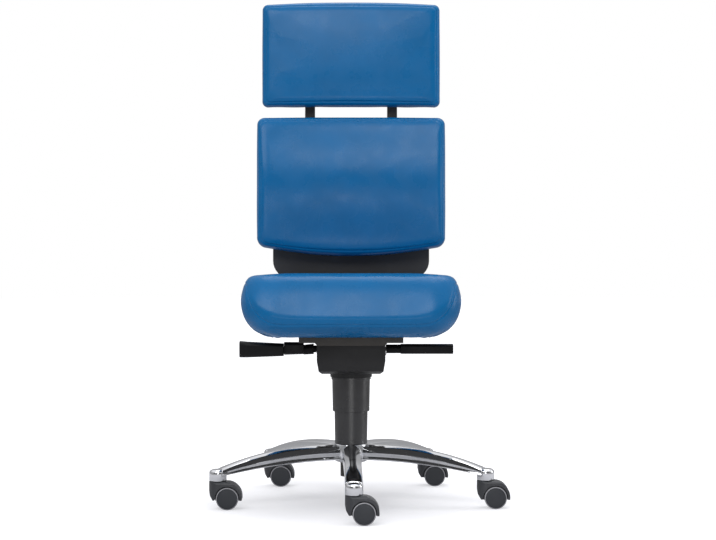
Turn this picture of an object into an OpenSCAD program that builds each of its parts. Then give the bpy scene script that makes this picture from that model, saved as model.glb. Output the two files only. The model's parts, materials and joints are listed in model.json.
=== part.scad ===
// Office swivel chair: polished five-armed base on twin-wheel casters, a gas
// column with telescoping sleeves, a synchronised tilt mechanism, a sliding
// seat, a backrest that adjusts in height and a headrest on two flat bars.
// Millimetres, +Z up. The origin lies on the floor under the column.
// The sitter looks along -Y.

/* [Base] */
// Distance from the column to each caster stem
base_r = 315; // [295:1:330]
// Turn of the base about the column, in degrees
base_turn = 1.2; // [-10:0.1:10]
// Height of the hub's upper face
hub_top = 135; // [132:0.5:142]
// Height of the hub's lower face
hub_bottom = 93; // [86:0.5:98]
// Outer radius of the hub
hub_r = 40; // [36:0.5:44]
// Height of the lower face of the boss at each arm's tip
boss_bottom = 63.3; // [62.9:0.1:68]
// Height of the top of that boss
boss_top = 89; // [87.6:0.1:96]
// Radius of that boss
boss_r = 19.5; // [16:0.5:22]
// Half width of an arm where it leaves the hub
arm_root_half = 21; // [17:0.5:23]
// Half width of an arm at its waist, near the tip
arm_waist_half = 17; // [14:0.5:19]
// How the arms' ridge falls from the hub to the tips: 1 is straight, more is later
arm_crest_curve = 2.4; // [1.6:0.1:3]
// Height of an arm's lower edge near the hub
arm_under = 99; // [96:0.5:103]
// How far an arm's lower edge drops towards the tip
arm_under_drop = 25; // [18:0.5:28]
// Wall of an arm round its hollow underside
arm_wall = 4; // [3:0.25:6]

/* [Casters] */
// Wheel diameter
wheel_d = 50; // [46:0.5:52]
// Width of one wheel
wheel_w = 19; // [15:0.5:19.5]
// Thickness of the soft tread
tread_t = 2.2; // [1.5:0.1:4]
// Distance from the stem's axis to the wheels' axis
caster_trail = 21.5; // [20:0.25:24]
// Height of the hood's upper face
hood_top = 62.5; // [60.5:0.1:62.6]
// Width of the hood over both wheels
hood_w = 44; // [42:0.5:48]
// Radius of the hood's upper edges
hood_edge = 8; // [4:0.5:12]
// Wall of the hood between the two wheels
hood_web = 7; // [6.5:0.25:9]
// Gap between the wheels and the hood above them
hood_gap = 2.5; // [1.5:0.25:3]
// Stem diameter
stem_d = 11; // [10:0.1:12]
// Length of the stem in the arm's socket
stem_grip = 22; // [16:0.5:22]
// Axle diameter
axle_d = 6; // [5:0.25:8]

/* [Column] */
// Outer diameter of the stand tube at its top
tube_d = 50; // [48:0.5:52]
// Height of the stand tube's lower end
tube_bottom = 60; // [54:0.5:62]
// Height of the stand tube's upper end
tube_top = 215; // [205:0.5:217]
// Wall of the stand tube
tube_wall = 2; // [1.5:0.1:3]
// Outer diameter of the gas cylinder
cyl_d = 28; // [26:0.1:29]
// Height of the gas cylinder's lower end
cyl_bottom = 142; // [138:0.5:150]
// Height of the gas cylinder's upper end
cyl_top = 338; // [334:0.5:341]
// Piston rod diameter
rod_d = 10; // [8:0.1:11]
// Outer diameter of the lower sleeve
sleeve_low_d = 75; // [72:0.5:76]
// Outer diameter of the middle sleeve
sleeve_mid_d = 81; // [80:0.5:82]
// Outer diameter of the upper sleeve
sleeve_up_d = 87; // [86:0.5:92]
// Height of the lower sleeve's top edge
sleeve_low_top = 220; // [216:0.5:221]
// Height of the middle sleeve's lower edge
sleeve_mid_bottom = 202; // [190:0.5:204]
// Length of the middle sleeve
sleeve_mid_len = 41; // [36:0.5:42]
// Height of the upper sleeve's lower edge
sleeve_up_bottom = 209; // [206:0.5:213]
// Wall of the sleeves
sleeve_wall = 2.4; // [2:0.1:2.5]

/* [Mechanism] */
// Width of the mechanism housing
housing_w = 153; // [150:1:162]
// How far each side of the housing leans in towards its lower face
housing_lean = 4; // [0:0.5:5]
// Height of the housing's lower face
housing_bottom = 300; // [297:0.5:303]
// Height of the housing's upper edge at the front
housing_top = 372; // [366:0.5:373]
// Front end of the housing
housing_front = -112; // [-118:1:-106]
// Rear end of the housing
housing_rear = 84; // [78:1:88]
// Wall of the housing
housing_wall = 4; // [3:0.25:6]
// Radius of the collar under the housing
collar_r = 47.5; // [45:0.5:50]
// Height of the collar's lower face
collar_bottom = 287; // [284:0.5:290]
// Distance of the seat's tilt pivot in front of the column
seat_pivot_y = 85; // [80:0.5:90]
// Height of the seat's tilt pivot
seat_pivot_z = 352; // [350:0.5:355]
// Distance of the back's pivot behind the column
back_pivot_y = 35; // [32:0.5:38]
// Height of the back's pivot
back_pivot_z = 335; // [332:0.5:337]
// Distance of the link pin behind the back's pivot
link_dy = 65; // [62:0.5:67]
// Height of the link pin over the back's pivot
link_dz = 15; // [13:0.5:17]
// Diameter of the pivot pins
pin_d = 12; // [10:0.5:13]
// Wire diameter of the torsion springs
spring_wire = 5; // [4:0.25:5.5]
// Turns of each torsion spring
spring_turns = 5; // [4:1:6]

/* [Levers] */
// Distance of the lever shafts in front of the column
lever_y = 35; // [33:0.5:37]
// Height of the lever shafts
lever_z = 353; // [352:0.5:355]
// Diameter of the lever shafts
lever_d = 10; // [8:0.25:11]
// Outer end of the height lever, from the middle
height_lever_end = 252; // [240:1:260]
// Inner end of the height lever's grip
height_lever_grip = 152; // [150:0.5:170]
// Height of the height lever's grip
height_lever_h = 32.5; // [28:0.5:34]
// Inner end of the tilt lever's grip
tilt_lever_grip = 107; // [104:0.5:118]
// Height of the middle of both grips on that side over their shaft
pair_rise = 5.5; // [2:0.5:6]
// Outer end of the seat lever, from the middle
seat_lever_end = 230; // [215:1:240]
// Inner end of the seat lever's grip
seat_lever_grip = 112; // [100:1:130]
// Height of the seat lever's grip
seat_lever_h = 21; // [18:0.5:24]
// Height of the middle of that grip over its shaft
seat_lever_rise = 1; // [0:0.5:3]
// Reach of the grips in front of their shaft
grip_reach = 30; // [24:1:36]

/* [Seat] */
// Width of the seat cushion
seat_w = 498; // [470:1:520]
// Depth of the seat cushion
seat_d = 470; // [450:1:474]
// Height of the seat cushion's crest
seat_crest = 522; // [515:0.5:526]
// Height at which the seat cushion is widest
seat_widest = 468; // [460:0.5:472]
// Height of the lowest edge of the seat cushion
seat_low = 385; // [383:0.5:388]
// Fullness of the cushion's underside, above 1 is fuller
seat_belly = 1.4; // [1.2:0.05:1.5]
// Radius of the cushion's corners in plan
seat_corner = 115; // [90:1:130]
// How far the front edge rolls down
seat_waterfall = 24; // [15:0.5:30]
// Distance from the cushion's edge to the seat shell
seat_shell_inset = 62; // [58:0.5:70]
// Height of the seat shell's lower face
seat_shell_z = 404; // [403:0.25:406]
// Thickness of the seat shell
seat_shell_t = 8; // [6:0.25:9]
// Half width of the seat carrier
carrier_half = 115; // [108:0.5:118]
// Space for the runners between the carrier's plate and the seat shell
rail_space = 12; // [11:0.25:13]
// Front end of the seat carrier, in front of the column
carrier_front = 168; // [160:1:169]
// Rear end of the seat carrier, behind the column
carrier_rear = 118; // [116:1:120]
// Depth of the carrier's skirt below its plate
carrier_skirt = 12; // [8:0.5:14]
// Thickness of the seat carrier's plate
carrier_t = 4; // [3:0.25:5]
// Hole spacing for an armrest bracket
arm_hole_pitch = 70; // [60:1:90]
// Distance of those holes from the middle
arm_hole_x = 165; // [160:1:170]
// Diameter of those holes
arm_hole_d = 6.6; // [5:0.1:8.5]

/* [Backrest] */
// Lean of the backrest from upright, in degrees
back_lean = 5; // [3:0.1:7]
// Distance of the back shell's foot behind the column
back_y = 248; // [246:0.5:256]
// Height of the back shell's foot
back_z = 500; // [495:1:510]
// Width of the back shell
back_shell_w = 374; // [350:1:390]
// Height of the back shell
back_shell_h = 362; // [345:1:370]
// Thickness of the back shell
back_shell_t = 6; // [5:0.25:8]
// Radius of the back shell's corners
back_shell_corner = 42; // [25:1:60]
// Radius to which shell and cushion curve round the sitter
back_wrap = 1200; // [1000:10:2000]
// Width of the back cushion
back_w = 450; // [430:1:470]
// Lower edge of the back cushion above the shell's foot
back_pad_z = 58; // [52:0.5:70]
// Height of the back cushion
back_h = 324; // [310:1:330]
// Thickness of the back cushion at its edge
back_pad_t = 52; // [44:0.5:58]
// Extra thickness at the lumbar bulge
lumbar_bulge = 24; // [15:0.5:36]
// Height of the lumbar bulge above the shell's foot
lumbar_z = 235; // [200:1:260]
// Width of the spine channel behind the shell
spine_w = 98; // [90:0.5:104]
// Depth of the spine channel behind the shell
spine_d = 40; // [38:0.5:46]
// Height of the spine channel
spine_h = 270; // [255:1:290]
// Width of the back bar
bar_w = 60; // [50:0.5:64]
// Thickness of the back bar
bar_t = 14; // [10:0.25:16]
// Gap between the back shell and the back bar
bar_gap = 16; // [14:0.25:18]
// Bend radius of the back bar's middle line
bar_bend = 45; // [36:0.5:60]
// Upper end of the back bar above the shell's foot
bar_top = 190; // [170:1:200]

/* [Headrest] */
// Width of the headrest cushion
head_w = 426; // [400:1:440]
// Height of the headrest cushion
head_h = 243; // [225:1:250]
// Lower edge of the headrest above the shell's foot
head_z = 414; // [412:0.5:425]
// Thickness of the headrest cushion at its edge
head_pad_t = 42; // [34:0.5:48]
// Crown of the headrest cushion
head_crown = 12; // [4:0.5:18]
// Distance of each headrest bar from the middle
head_bar_x = 99; // [90:0.5:110]
// Width of a headrest bar
head_bar_w = 24; // [18:0.5:28]
// Thickness of a headrest bar
head_bar_t = 5; // [4:0.25:6]
// Lower end of a headrest bar above the shell's foot
head_bar_z = 262; // [250:1:270]

/* [Hidden] */
$fn = 64;

// Colours
polished = "gainsboro";
black_plastic = "#3a3b3f";
dark_metal = "#44413f";
steel = "silver";
blue_leather = "#1f6fb5";
grey_tread = "#8a8c90";

// Clearances
running = 0.05;
slide_gap = 0.3;
soft_gap = 0.4;
seat_gap = 0.3;
bond = 0.02;
spring_gap = 0.35;

arms = 5;
caster_angles = [for (k = [0:arms - 1]) -90 + base_turn + 360 / arms * k];
wheel_r = wheel_d / 2;
axle_z = wheel_r;
wheel_gap = 0.5;
pocket_r = wheel_r + hood_gap;
stem_collar = 0.5;
stem_collar_r = stem_d / 2 + 3.5;
stem_seat = 12;
wheel_bore = 14;
axle_half = hood_web / 2 + wheel_gap + wheel_bore;
crown_back = 3.5;
crown_up = 1.5;

// Arms of the base
arm_start = hub_r - 6;
keel_start = 60;
waist_in = 35;
arm_end = base_r - 3;
arm_crest_drop = hub_top - 1 - boss_top;
arm_steps = 9;

// Column
tube_taper = 0.8;
cyl_r = cyl_d / 2;
rod_r = rod_d / 2;
cyl_bore_r = cyl_r - 2;
plate_t = 3;
bearing_r = 15;
race_t = 1.5;
ball_r = 2;
washer_t = 1.5;
bearing_bottom = tube_bottom + plate_t;
bearing_top = bearing_bottom + race_t + 2 * ball_r + washer_t;
clip_t = 1.2;
clip_r = rod_r + 4;
button_r = 4;
button_h = 8;
piston_t = 10;
rod_reach = 93;
rod_top = cyl_bottom + rod_reach;
cone_h = 45;
cone_drop = 0.8;
bush_r = tube_d / 2 - tube_wall - tube_taper;
bush_bottom = bearing_top + 12;

// Mechanism
housing_half = housing_w / 2;
housing_nose = 16;
ear_t = 6;
ear_gap = 2;
ear_out = housing_half - housing_wall - ear_gap;
fork_gap = 2;
fork_out = ear_out - ear_t - fork_gap;
fork_t = 12;
pin_r = pin_d / 2;
link_y = back_pivot_y + link_dy;
link_z = back_pivot_z + link_dz;
link_r = 5;
slot_run = 6;
fork_h = 24;
shaft_r = lever_d / 2;
tilt_tube_r = shaft_r + 3;
lever_inner = housing_half - 12;
finger_half = 8;
column_boss_r = 24;
eye_wall = 6;
fork_len = 125;
fork_bridge = 25;

// Seat
seat_a = seat_w / 2;
seat_b = seat_d / 2;
seat_lower_inset = 95;
seat_edge_inset = 30;
seat_edge_drop = 3;
waterfall_start = 0.45;
runner_w = 20;
runner_len = 300;
shell_top = seat_shell_z + seat_shell_t;
screw_r = 3;
screw_places = [-110, 0, 110];
carrier_z = seat_shell_z - rail_space;
apron_drop = 6;
apron_half = 74;
channel_wall = 3;
flange = 8;
lip_reach = 10;
lip_t = 2;
lip_z = seat_shell_z - seat_gap - lip_t;
runner_x = carrier_half - channel_wall - slide_gap - flange - runner_w / 2;

// Backrest, in its own upright frame: x to the side, y to the rear, z up
bar_mid = back_shell_t + bar_gap + bar_t / 2;
bar_z = back_pivot_z;
bend_steps = 24;
bend_t = (bar_z + bar_bend * (1 - sin(back_lean)) - back_z + bar_mid * sin(back_lean))
  / cos(back_lean);
bend_y = back_y + bar_mid * cos(back_lean) + bend_t * sin(back_lean)
  - bar_bend * cos(back_lean);
back_a = back_w / 2;
back_b = back_h / 2;
head_a = head_w / 2;
head_b = head_h / 2;
head_bar_y = back_shell_t - 2;
head_plate_t = 6;
head_plate_w = 300;
head_plate_h = 170;
head_screw_r = 3;
head_screw_rise = 40;
head_mid = head_z + head_h / 2;
head_screw_places = [head_mid - head_screw_rise, head_mid + head_screw_rise];
guide_len = 90;
guide_wall = 5;
tall = 1200;

// Helpers

function mean(list) = list * [for (item = list) 1] / len(list);

// Centre of a ring of 3-D points
function middle(ring) = [for (axis = [0:2]) mean([for (p = ring) p[axis]])];

// Closed skin over rings of points. Each ring turns anticlockwise about the
// direction in which the rings follow each other.
module loft(rings) {
  n = len(rings[0]);
  m = len(rings);
  points = [for (ring = rings) each ring, middle(rings[0]), middle(rings[m - 1])];
  sides = [for (k = [0:m - 2], i = [0:n - 1])
    let (a = k * n + i, b = k * n + (i + 1) % n)
    each [[a, a + n, b + n], [a, b + n, b]]];
  ends = [for (i = [0:n - 1])
    let (j = (i + 1) % n, last = (m - 1) * n)
    each [[m * n, i, j], [m * n + 1, last + j, last + i]]];
  polyhedron(points = points, faces = concat(sides, ends));
}

corner_sign = [[1, 1], [-1, 1], [-1, -1], [1, -1]];

// One point on the corner arc of a rounded rectangle
function corner_point(a, b, r, corner, share) =
  [corner_sign[corner][0] * (a - r) + r * cos(90 * (corner + share)),
   corner_sign[corner][1] * (b - r) + r * sin(90 * (corner + share))];

// Rounded rectangle with arc_steps on each corner and edge_steps on each edge
function rounded_ring(a, b, r, arc_steps, edge_steps) = [for (c = [0:3])
  let (from = corner_point(a, b, r, c, 1), to = corner_point(a, b, r, (c + 1) % 4, 0))
  each concat(
    [for (j = [0:arc_steps]) corner_point(a, b, r, c, j / arc_steps)],
    [for (j = [1:edge_steps - 1]) from + (to - from) * j / edge_steps])];

// Cylinder along X between two places
module rod_x(r, x0, x1) {
  translate([x0, 0, 0]) rotate([0, 90, 0]) cylinder(r = r, h = x1 - x0);
}

// Cylinder along Y between two places
module rod_y(r, y0, y1) {
  translate([0, y0, 0]) rotate([-90, 0, 0]) cylinder(r = r, h = y1 - y0);
}

// Ring about Z between two heights
module ring_z(outer_r, inner_r, z0, z1) {
  translate([0, 0, z0]) difference() {
    cylinder(r = outer_r, h = z1 - z0);
    translate([0, 0, -1]) cylinder(r = inner_r, h = z1 - z0 + 2);
  }
}

// Plate whose outline is drawn in Y and Z, between two places on X
module side_plate(x0, x1) {
  translate([x0, 0, 0]) rotate([90, 0, 90]) linear_extrude(x1 - x0) children();
}

// Both mirror images of the children about the middle plane
module both_sides() {
  children();
  mirror([1, 0, 0]) children();
}

// The backrest's own frame, leaning back from the shell's foot
module back_frame() {
  translate([0, back_y, back_z]) rotate([-back_lean, 0, 0]) children();
}

// Base

function arm_crest(r) =
  hub_top - 1 - arm_crest_drop * pow(max(0, r - hub_r) / (base_r - hub_r), arm_crest_curve);
function arm_keel(r) =
  arm_under - arm_under_drop * pow(max(0, r - keel_start) / (base_r - keel_start), 1.9);
function arm_half(r) =
  arm_root_half + (arm_waist_half - arm_root_half) * sin(90 * min(1, r / (base_r - waist_in)));

// Cross-section of an arm: a narrow crest, leaning sides, an undercut and a flared keel
function arm_section(r) =
  let (w = arm_half(r), top = arm_crest(r), low = arm_keel(r), h = top - low)
  [[r, 0.98 * w, low + 0.05 * h], [r, 0.9 * w, low + 0.26 * h], [r, w, low + 0.46 * h],
   [r, 0.76 * w, low + 0.9 * h], [r, 0.3 * w, top], [r, -0.3 * w, top],
   [r, -0.76 * w, low + 0.9 * h], [r, -w, low + 0.46 * h], [r, -0.9 * w, low + 0.26 * h],
   [r, -0.98 * w, low + 0.05 * h], [r, -0.8 * w, low], [r, 0.8 * w, low]];

// Cross-section of the hollow under an arm, open downwards
function hollow_section(r) =
  let (w = arm_half(r) - arm_wall, top = arm_crest(r), low = arm_keel(r), h = top - low)
  [[r, 0.62 * w, low - 5], [r, 0.9 * w, low + 0.42 * h], [r, 0.6 * w, low + 0.62 * h],
   [r, -0.6 * w, low + 0.62 * h], [r, -0.9 * w, low + 0.42 * h], [r, -0.62 * w, low - 5]];

module arm() {
  loft([for (k = [0:arm_steps])
    arm_section(arm_start + (arm_end - arm_start) * k / arm_steps)]);
  translate([base_r, 0, 0]) rotate_extrude() polygon([
    [0, boss_bottom], [boss_r - 1.5, boss_bottom], [boss_r, boss_bottom + 1.5],
    [boss_r, boss_top - 7], [boss_r - 2, boss_top - 3], [boss_r - 7, boss_top],
    [0, boss_top]]);
}

// Hollows under an arm, parted by two webs
module arm_hollows() {
  first = hub_r + 18;
  last = base_r - boss_r - 8;
  cells = 3;
  web = 4;
  for (cell = [0:cells - 1]) {
    from = first + (last - first) * cell / cells;
    to = first + (last - first) * (cell + 1) / cells - web;
    loft([for (k = [0:2]) hollow_section(from + (to - from) * k / 2)]);
  }
}

function tube_r(z) =
  tube_d / 2 - tube_taper * (1 - (z - tube_bottom) / (hub_top - tube_bottom));

module base_star() {
  edge = 3;
  color(polished) difference() {
    union() {
      rotate_extrude() polygon([
        [0, hub_bottom], [hub_r - 3 * edge, hub_bottom], [hub_r - edge, hub_bottom + edge],
        [hub_r, hub_bottom + 3 * edge], [hub_r, hub_top - edge], [hub_r - edge, hub_top],
        [0, hub_top]]);
      for (angle = caster_angles) rotate([0, 0, angle]) arm();
    }
    translate([0, 0, hub_bottom]) cylinder(
      r1 = tube_r(hub_bottom), r2 = tube_r(hub_top), h = hub_top - hub_bottom);
    for (angle = caster_angles) rotate([0, 0, angle]) {
      arm_hollows();
      translate([base_r, 0, boss_bottom - 1])
        cylinder(r = stem_d / 2 + running, h = stem_grip + seat_gap + 1);
    }
  }
}

// Casters: the hood's profile is drawn in X and Z about the stem's axis

module caster_frame(index) {
  angle = caster_angles[index - 1];
  translate([base_r * cos(angle), base_r * sin(angle), 0]) children();
}

module hood_profile() {
  crown_r = hood_top - axle_z - crown_up;
  nose = caster_trail - pocket_r - 5;
  difference() {
    union() {
      intersection() {
        translate([caster_trail - crown_back, axle_z + crown_up]) circle(r = crown_r);
        translate([0, axle_z - 4]) square([80, hood_top]);
      }
      polygon([
        [-boss_r, hood_top], [-boss_r - 0.3, axle_z + 18], [-boss_r + 2.2, axle_z + 6],
        [nose, axle_z - 4], [nose + 4, axle_z - 3.5], [caster_trail - crown_back, hood_top]]);
    }
    translate([caster_trail, axle_z]) circle(r = pocket_r);
  }
}

module hood_plan() {
  round_r = hood_w / 2;
  translate([round_r - boss_r - 0.3, 0]) circle(r = round_r);
  translate([round_r - boss_r, -round_r]) square([90, hood_w]);
}

// Outline of the hood seen along its trail, with rounded upper edges
module hood_front_view() {
  half = hood_w / 2;
  translate([-half, 0]) square([hood_w, hood_top - hood_edge]);
  translate([hood_edge - half, 0]) square([hood_w - 2 * hood_edge, hood_top]);
  for (side = [-1, 1]) translate([side * (half - hood_edge), hood_top - hood_edge])
    circle(r = hood_edge);
}

module caster_hood(index) {
  hub_boss_r = axle_d / 2 + 3;
  web_low = axle_z - hub_boss_r;
  color(black_plastic) caster_frame(index) difference() {
    union() {
      intersection() {
        translate([0, hood_w / 2, 0]) rotate([90, 0, 0]) linear_extrude(hood_w) hood_profile();
        linear_extrude(hood_top) hood_plan();
        side_plate(-boss_r - 5, 90) hood_front_view();
      }
      translate([0, hood_web / 2, 0]) rotate([90, 0, 0]) linear_extrude(hood_web) {
        intersection() {
          translate([caster_trail, axle_z]) circle(r = pocket_r + 0.5);
          translate([-20, web_low]) square([100, hood_top]);
        }
      }
    }
    translate([caster_trail, 0, axle_z]) rod_y(axle_d / 2, -hood_w, hood_w);
    translate([0, 0, hood_top - stem_seat]) cylinder(r = stem_d / 2, h = stem_seat + 1);
  }
}

module caster_stem(index) {
  tip = boss_bottom + stem_grip;
  color(steel) caster_frame(index) rotate_extrude() polygon([
    [0, hood_top - stem_seat], [stem_d / 2, hood_top - stem_seat], [stem_d / 2, hood_top],
    [stem_collar_r, hood_top], [stem_collar_r, hood_top + stem_collar],
    [stem_d / 2, hood_top + stem_collar], [stem_d / 2, tip - 5], [stem_d / 2 - 1, tip - 4.4],
    [stem_d / 2 - 1, tip - 2.6], [stem_d / 2, tip - 2], [stem_d / 2, tip - 1],
    [stem_d / 2 - 1, tip], [0, tip]]);
}

module caster_axle(index) {
  color(steel) caster_frame(index) translate([caster_trail, 0, axle_z])
    rod_y(axle_d / 2, -axle_half, axle_half);
}

// A wheel about its own axis, which is Z here, with its inner face at 0
module wheel() {
  rim_r = wheel_r - tread_t;
  tread_r = rim_r + bond;
  bore_h = wheel_bore + 1;
  dish = 1.6;
  color(black_plastic) rotate_extrude() polygon([
    [axle_d / 2 + running, 0], [9, 0], [9, 3], [rim_r - 3, 3], [rim_r - 3, 0], [rim_r, 0],
    [rim_r, wheel_w - 1], [rim_r - 1, wheel_w], [rim_r - 2.6, wheel_w],
    [rim_r - 3.6, wheel_w - dish], [0, wheel_w - 0.6], [0, bore_h],
    [axle_d / 2 + running, bore_h]]);
  color(grey_tread) rotate_extrude() polygon([
    [tread_r, 0.5], [wheel_r - 1, 0.5], [wheel_r, 1.5], [wheel_r, wheel_w - 2.5],
    [wheel_r - 0.6, wheel_w - 1.3], [tread_r, wheel_w - 1]]);
}

// side is -1 for the wheel towards the front, 1 for the one behind it
module caster_wheel(index, side) {
  caster_frame(index) translate([caster_trail, side * (hood_web / 2 + wheel_gap), axle_z])
    rotate([-side * 90, 0, 0]) wheel();
}

// Column

module stand_tube() {
  inner_r = tube_d / 2 - tube_wall;
  color(black_plastic) difference() {
    union() {
      translate([0, 0, tube_bottom]) cylinder(
        r1 = tube_r(tube_bottom), r2 = tube_r(hub_top), h = hub_top - tube_bottom);
      translate([0, 0, hub_top]) cylinder(r = tube_d / 2, h = tube_top - hub_top);
    }
    translate([0, 0, tube_bottom + plate_t])
      cylinder(r = inner_r - tube_taper, h = tube_top);
    translate([0, 0, tube_bottom - 1]) cylinder(r = rod_r + running, h = plate_t + 2);
  }
}

module guide_bush() {
  color("ivory") ring_z(bush_r, cyl_r + running, bush_bottom, tube_top - 1);
}

module thrust_bearing() {
  ball_count = 10;
  ball_path = (bearing_r + rod_r + 1) / 2;
  color(steel) {
    ring_z(bearing_r, rod_r + 1, bearing_bottom, bearing_bottom + race_t);
    for (k = [0:ball_count - 1]) rotate([0, 0, 360 / ball_count * k])
      translate([ball_path, 0, bearing_bottom + race_t + ball_r])
        sphere(r = ball_r - 0.02, $fn = 24);
  }
}

module bearing_washer() {
  color(steel) ring_z(bearing_r, rod_r, bearing_top - washer_t, bearing_top);
}

module piston_rod() {
  groove_z = tube_bottom - seat_gap - clip_t;
  shoulder_r = rod_r + 2;
  color(steel) rotate_extrude() polygon([
    [0, groove_z - 2], [rod_r - 0.5, groove_z - 2], [rod_r, groove_z - 1.5],
    [rod_r, groove_z], [rod_r - 1, groove_z], [rod_r - 1, groove_z + clip_t],
    [rod_r, groove_z + clip_t], [rod_r, bearing_top], [shoulder_r, bearing_top],
    [shoulder_r, bearing_top + 3], [rod_r, bearing_top + 4], [rod_r, rod_top - piston_t],
    [cyl_bore_r - running, rod_top - piston_t], [cyl_bore_r - running, rod_top],
    [0, rod_top]]);
}

module retaining_clip() {
  z0 = tube_bottom - seat_gap - clip_t;
  color(steel) difference() {
    ring_z(clip_r, rod_r - 1, z0, z0 + clip_t);
    translate([0, -2, z0 - 1]) cube([clip_r + 1, 4, clip_t + 2]);
  }
}

module pressure_cylinder() {
  end_t = 12;
  color(dark_metal) difference() {
    union() {
      translate([0, 0, cyl_bottom]) cylinder(r = cyl_r, h = cyl_top - cone_h - cyl_bottom);
      translate([0, 0, cyl_top - cone_h]) cylinder(r1 = cyl_r, r2 = cyl_r - cone_drop, h = cone_h);
    }
    translate([0, 0, cyl_bottom - 1]) cylinder(r = rod_r + running, h = end_t + 2);
    translate([0, 0, cyl_bottom + end_t])
      cylinder(r = cyl_bore_r, h = cyl_top - end_t - 6 - cyl_bottom - end_t);
    translate([0, 0, cyl_top - 20]) cylinder(r = button_r + running, h = 21);
  }
}

module release_button() {
  color(steel) translate([0, 0, cyl_top - 12]) {
    cylinder(r = button_r, h = 12 + button_h - 1);
    translate([0, 0, 12 + button_h - 1]) cylinder(r1 = button_r, r2 = button_r - 1, h = 1);
  }
}

module sleeve_lower() {
  outer_r = sleeve_low_d / 2;
  color(black_plastic) {
    ring_z(outer_r, outer_r - sleeve_wall, hub_top + 3, sleeve_low_top);
    ring_z(outer_r, tube_d / 2, hub_top, hub_top + 3);
  }
}

module sleeve_middle() {
  outer_r = sleeve_mid_d / 2;
  top = sleeve_mid_bottom + sleeve_mid_len;
  color(black_plastic) ring_z(outer_r, outer_r - sleeve_wall, sleeve_mid_bottom, top);
}

module sleeve_upper() {
  outer_r = sleeve_up_d / 2;
  color(black_plastic) difference() {
    translate([0, 0, sleeve_up_bottom])
      cylinder(r = outer_r, h = collar_bottom - sleeve_up_bottom);
    translate([0, 0, sleeve_up_bottom - 1])
      cylinder(r = outer_r - sleeve_wall, h = collar_bottom - sleeve_up_bottom - 2);
    translate([0, 0, collar_bottom - 10]) cylinder(r = cyl_r, h = 20);
  }
}

// Mechanism

// Side view of the housing: the upper edge falls to the rear, where the seat
// carrier comes down as the back leans
module housing_side() {
  nose = housing_nose;
  polygon([
    [housing_front + 2 * nose, housing_bottom], [housing_rear - 30, housing_bottom],
    [housing_rear, housing_bottom + 12], [housing_rear, housing_top - 22],
    [back_pivot_y - 30, housing_top - 8], [housing_front + 60, housing_top],
    [housing_front, housing_top], [housing_front, housing_bottom + 2 * nose],
    [housing_front + nose / 2, housing_bottom + nose / 2]]);
}

// Side view of the hollow, open to the top and the rear
module hollow_side() {
  front = housing_front + housing_wall;
  low = housing_bottom + housing_wall;
  rear = housing_rear + 1;
  nose = housing_nose;
  polygon([
    [front + 2 * nose, low], [rear, low], [rear, housing_top + 1], [front, housing_top + 1],
    [front, low + 2 * nose], [front + nose / 2, low + nose / 2]]);
}

// Front view of the housing: a little narrower below, with bevelled edges
module housing_front_view(inset) {
  half = housing_half - inset;
  low = housing_bottom + inset;
  bevel = 7;
  polygon([
    [-half, housing_top + 1], [-half, housing_bottom + 32], [housing_lean - half, low + bevel],
    [housing_lean - half + bevel, low], [half - housing_lean - bevel, low],
    [half - housing_lean, low + bevel], [half, housing_bottom + 32], [half, housing_top + 1]]);
}

module along_y(y0, y1) {
  translate([0, y1, 0]) rotate([90, 0, 0]) linear_extrude(y1 - y0) children();
}

module mechanism_housing() {
  hub_top_z = cyl_top - 4;
  color(black_plastic) difference() {
    union() {
      difference() {
        intersection() {
          side_plate(-housing_half, housing_half) housing_side();
          along_y(housing_front, housing_rear) housing_front_view(0);
        }
        intersection() {
          side_plate(-housing_half, housing_half) hollow_side();
          along_y(housing_front, housing_rear + 1) housing_front_view(housing_wall);
        }
      }
      translate([0, 0, collar_bottom])
        cylinder(r = collar_r, h = housing_bottom - collar_bottom + 2);
      translate([0, 0, housing_bottom]) cylinder(r = column_boss_r, h = hub_top_z - housing_bottom);
      both_sides() translate([housing_half - housing_wall - 5, -lever_y, lever_z])
        rod_x(tilt_tube_r + 4, 0, 6);
    }
    translate([0, 0, collar_bottom - 1])
      cylinder(r = cyl_r, h = cyl_top - cone_h - collar_bottom + 1);
    translate([0, 0, cyl_top - cone_h]) cylinder(r1 = cyl_r, r2 = cyl_r - cone_drop, h = cone_h);
    translate([0, back_pivot_y, back_pivot_z]) rod_x(pin_r, -housing_w, housing_w);
    translate([0, -seat_pivot_y, seat_pivot_z]) rod_x(pin_r, -housing_w, housing_w);
    translate([0, -lever_y, lever_z]) rod_x(tilt_tube_r + running, -housing_w, 0);
    translate([0, -lever_y, lever_z]) rod_x(shaft_r + running, 0, housing_w);
  }
}

module pivot_pin(y, z) {
  head = 2.5;
  color(steel) translate([0, y, z]) {
    rod_x(pin_r, -housing_half, housing_half);
    rod_x(pin_r + 3, housing_half, housing_half + head);
    rod_x(pin_r - 2, -housing_half - 1, -housing_half);
  }
}

// One torsion spring about the back's pivot, with a leg at each end
module torsion_spring(x0) {
  coil_r = pin_r + spring_wire / 2 + spring_gap;
  pitch = spring_wire + 0.5;
  steps = 14;
  sides = 6;
  total = spring_turns * steps;
  wire = spring_wire / 2;
  loft([for (k = [0:total])
    let (turn = 360 * k / steps, x = x0 + pitch * k / steps)
    [for (j = [0:sides - 1])
      let (a = 360 * j / sides, r = coil_r + wire * cos(a))
      [x + wire * sin(a), r * cos(turn), r * sin(turn)]]]);
}

module torsion_springs() {
  color("dimgray") translate([0, back_pivot_y, back_pivot_z]) both_sides()
    torsion_spring(12);
}

// Levers: each grip stands in front of its shaft

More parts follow.
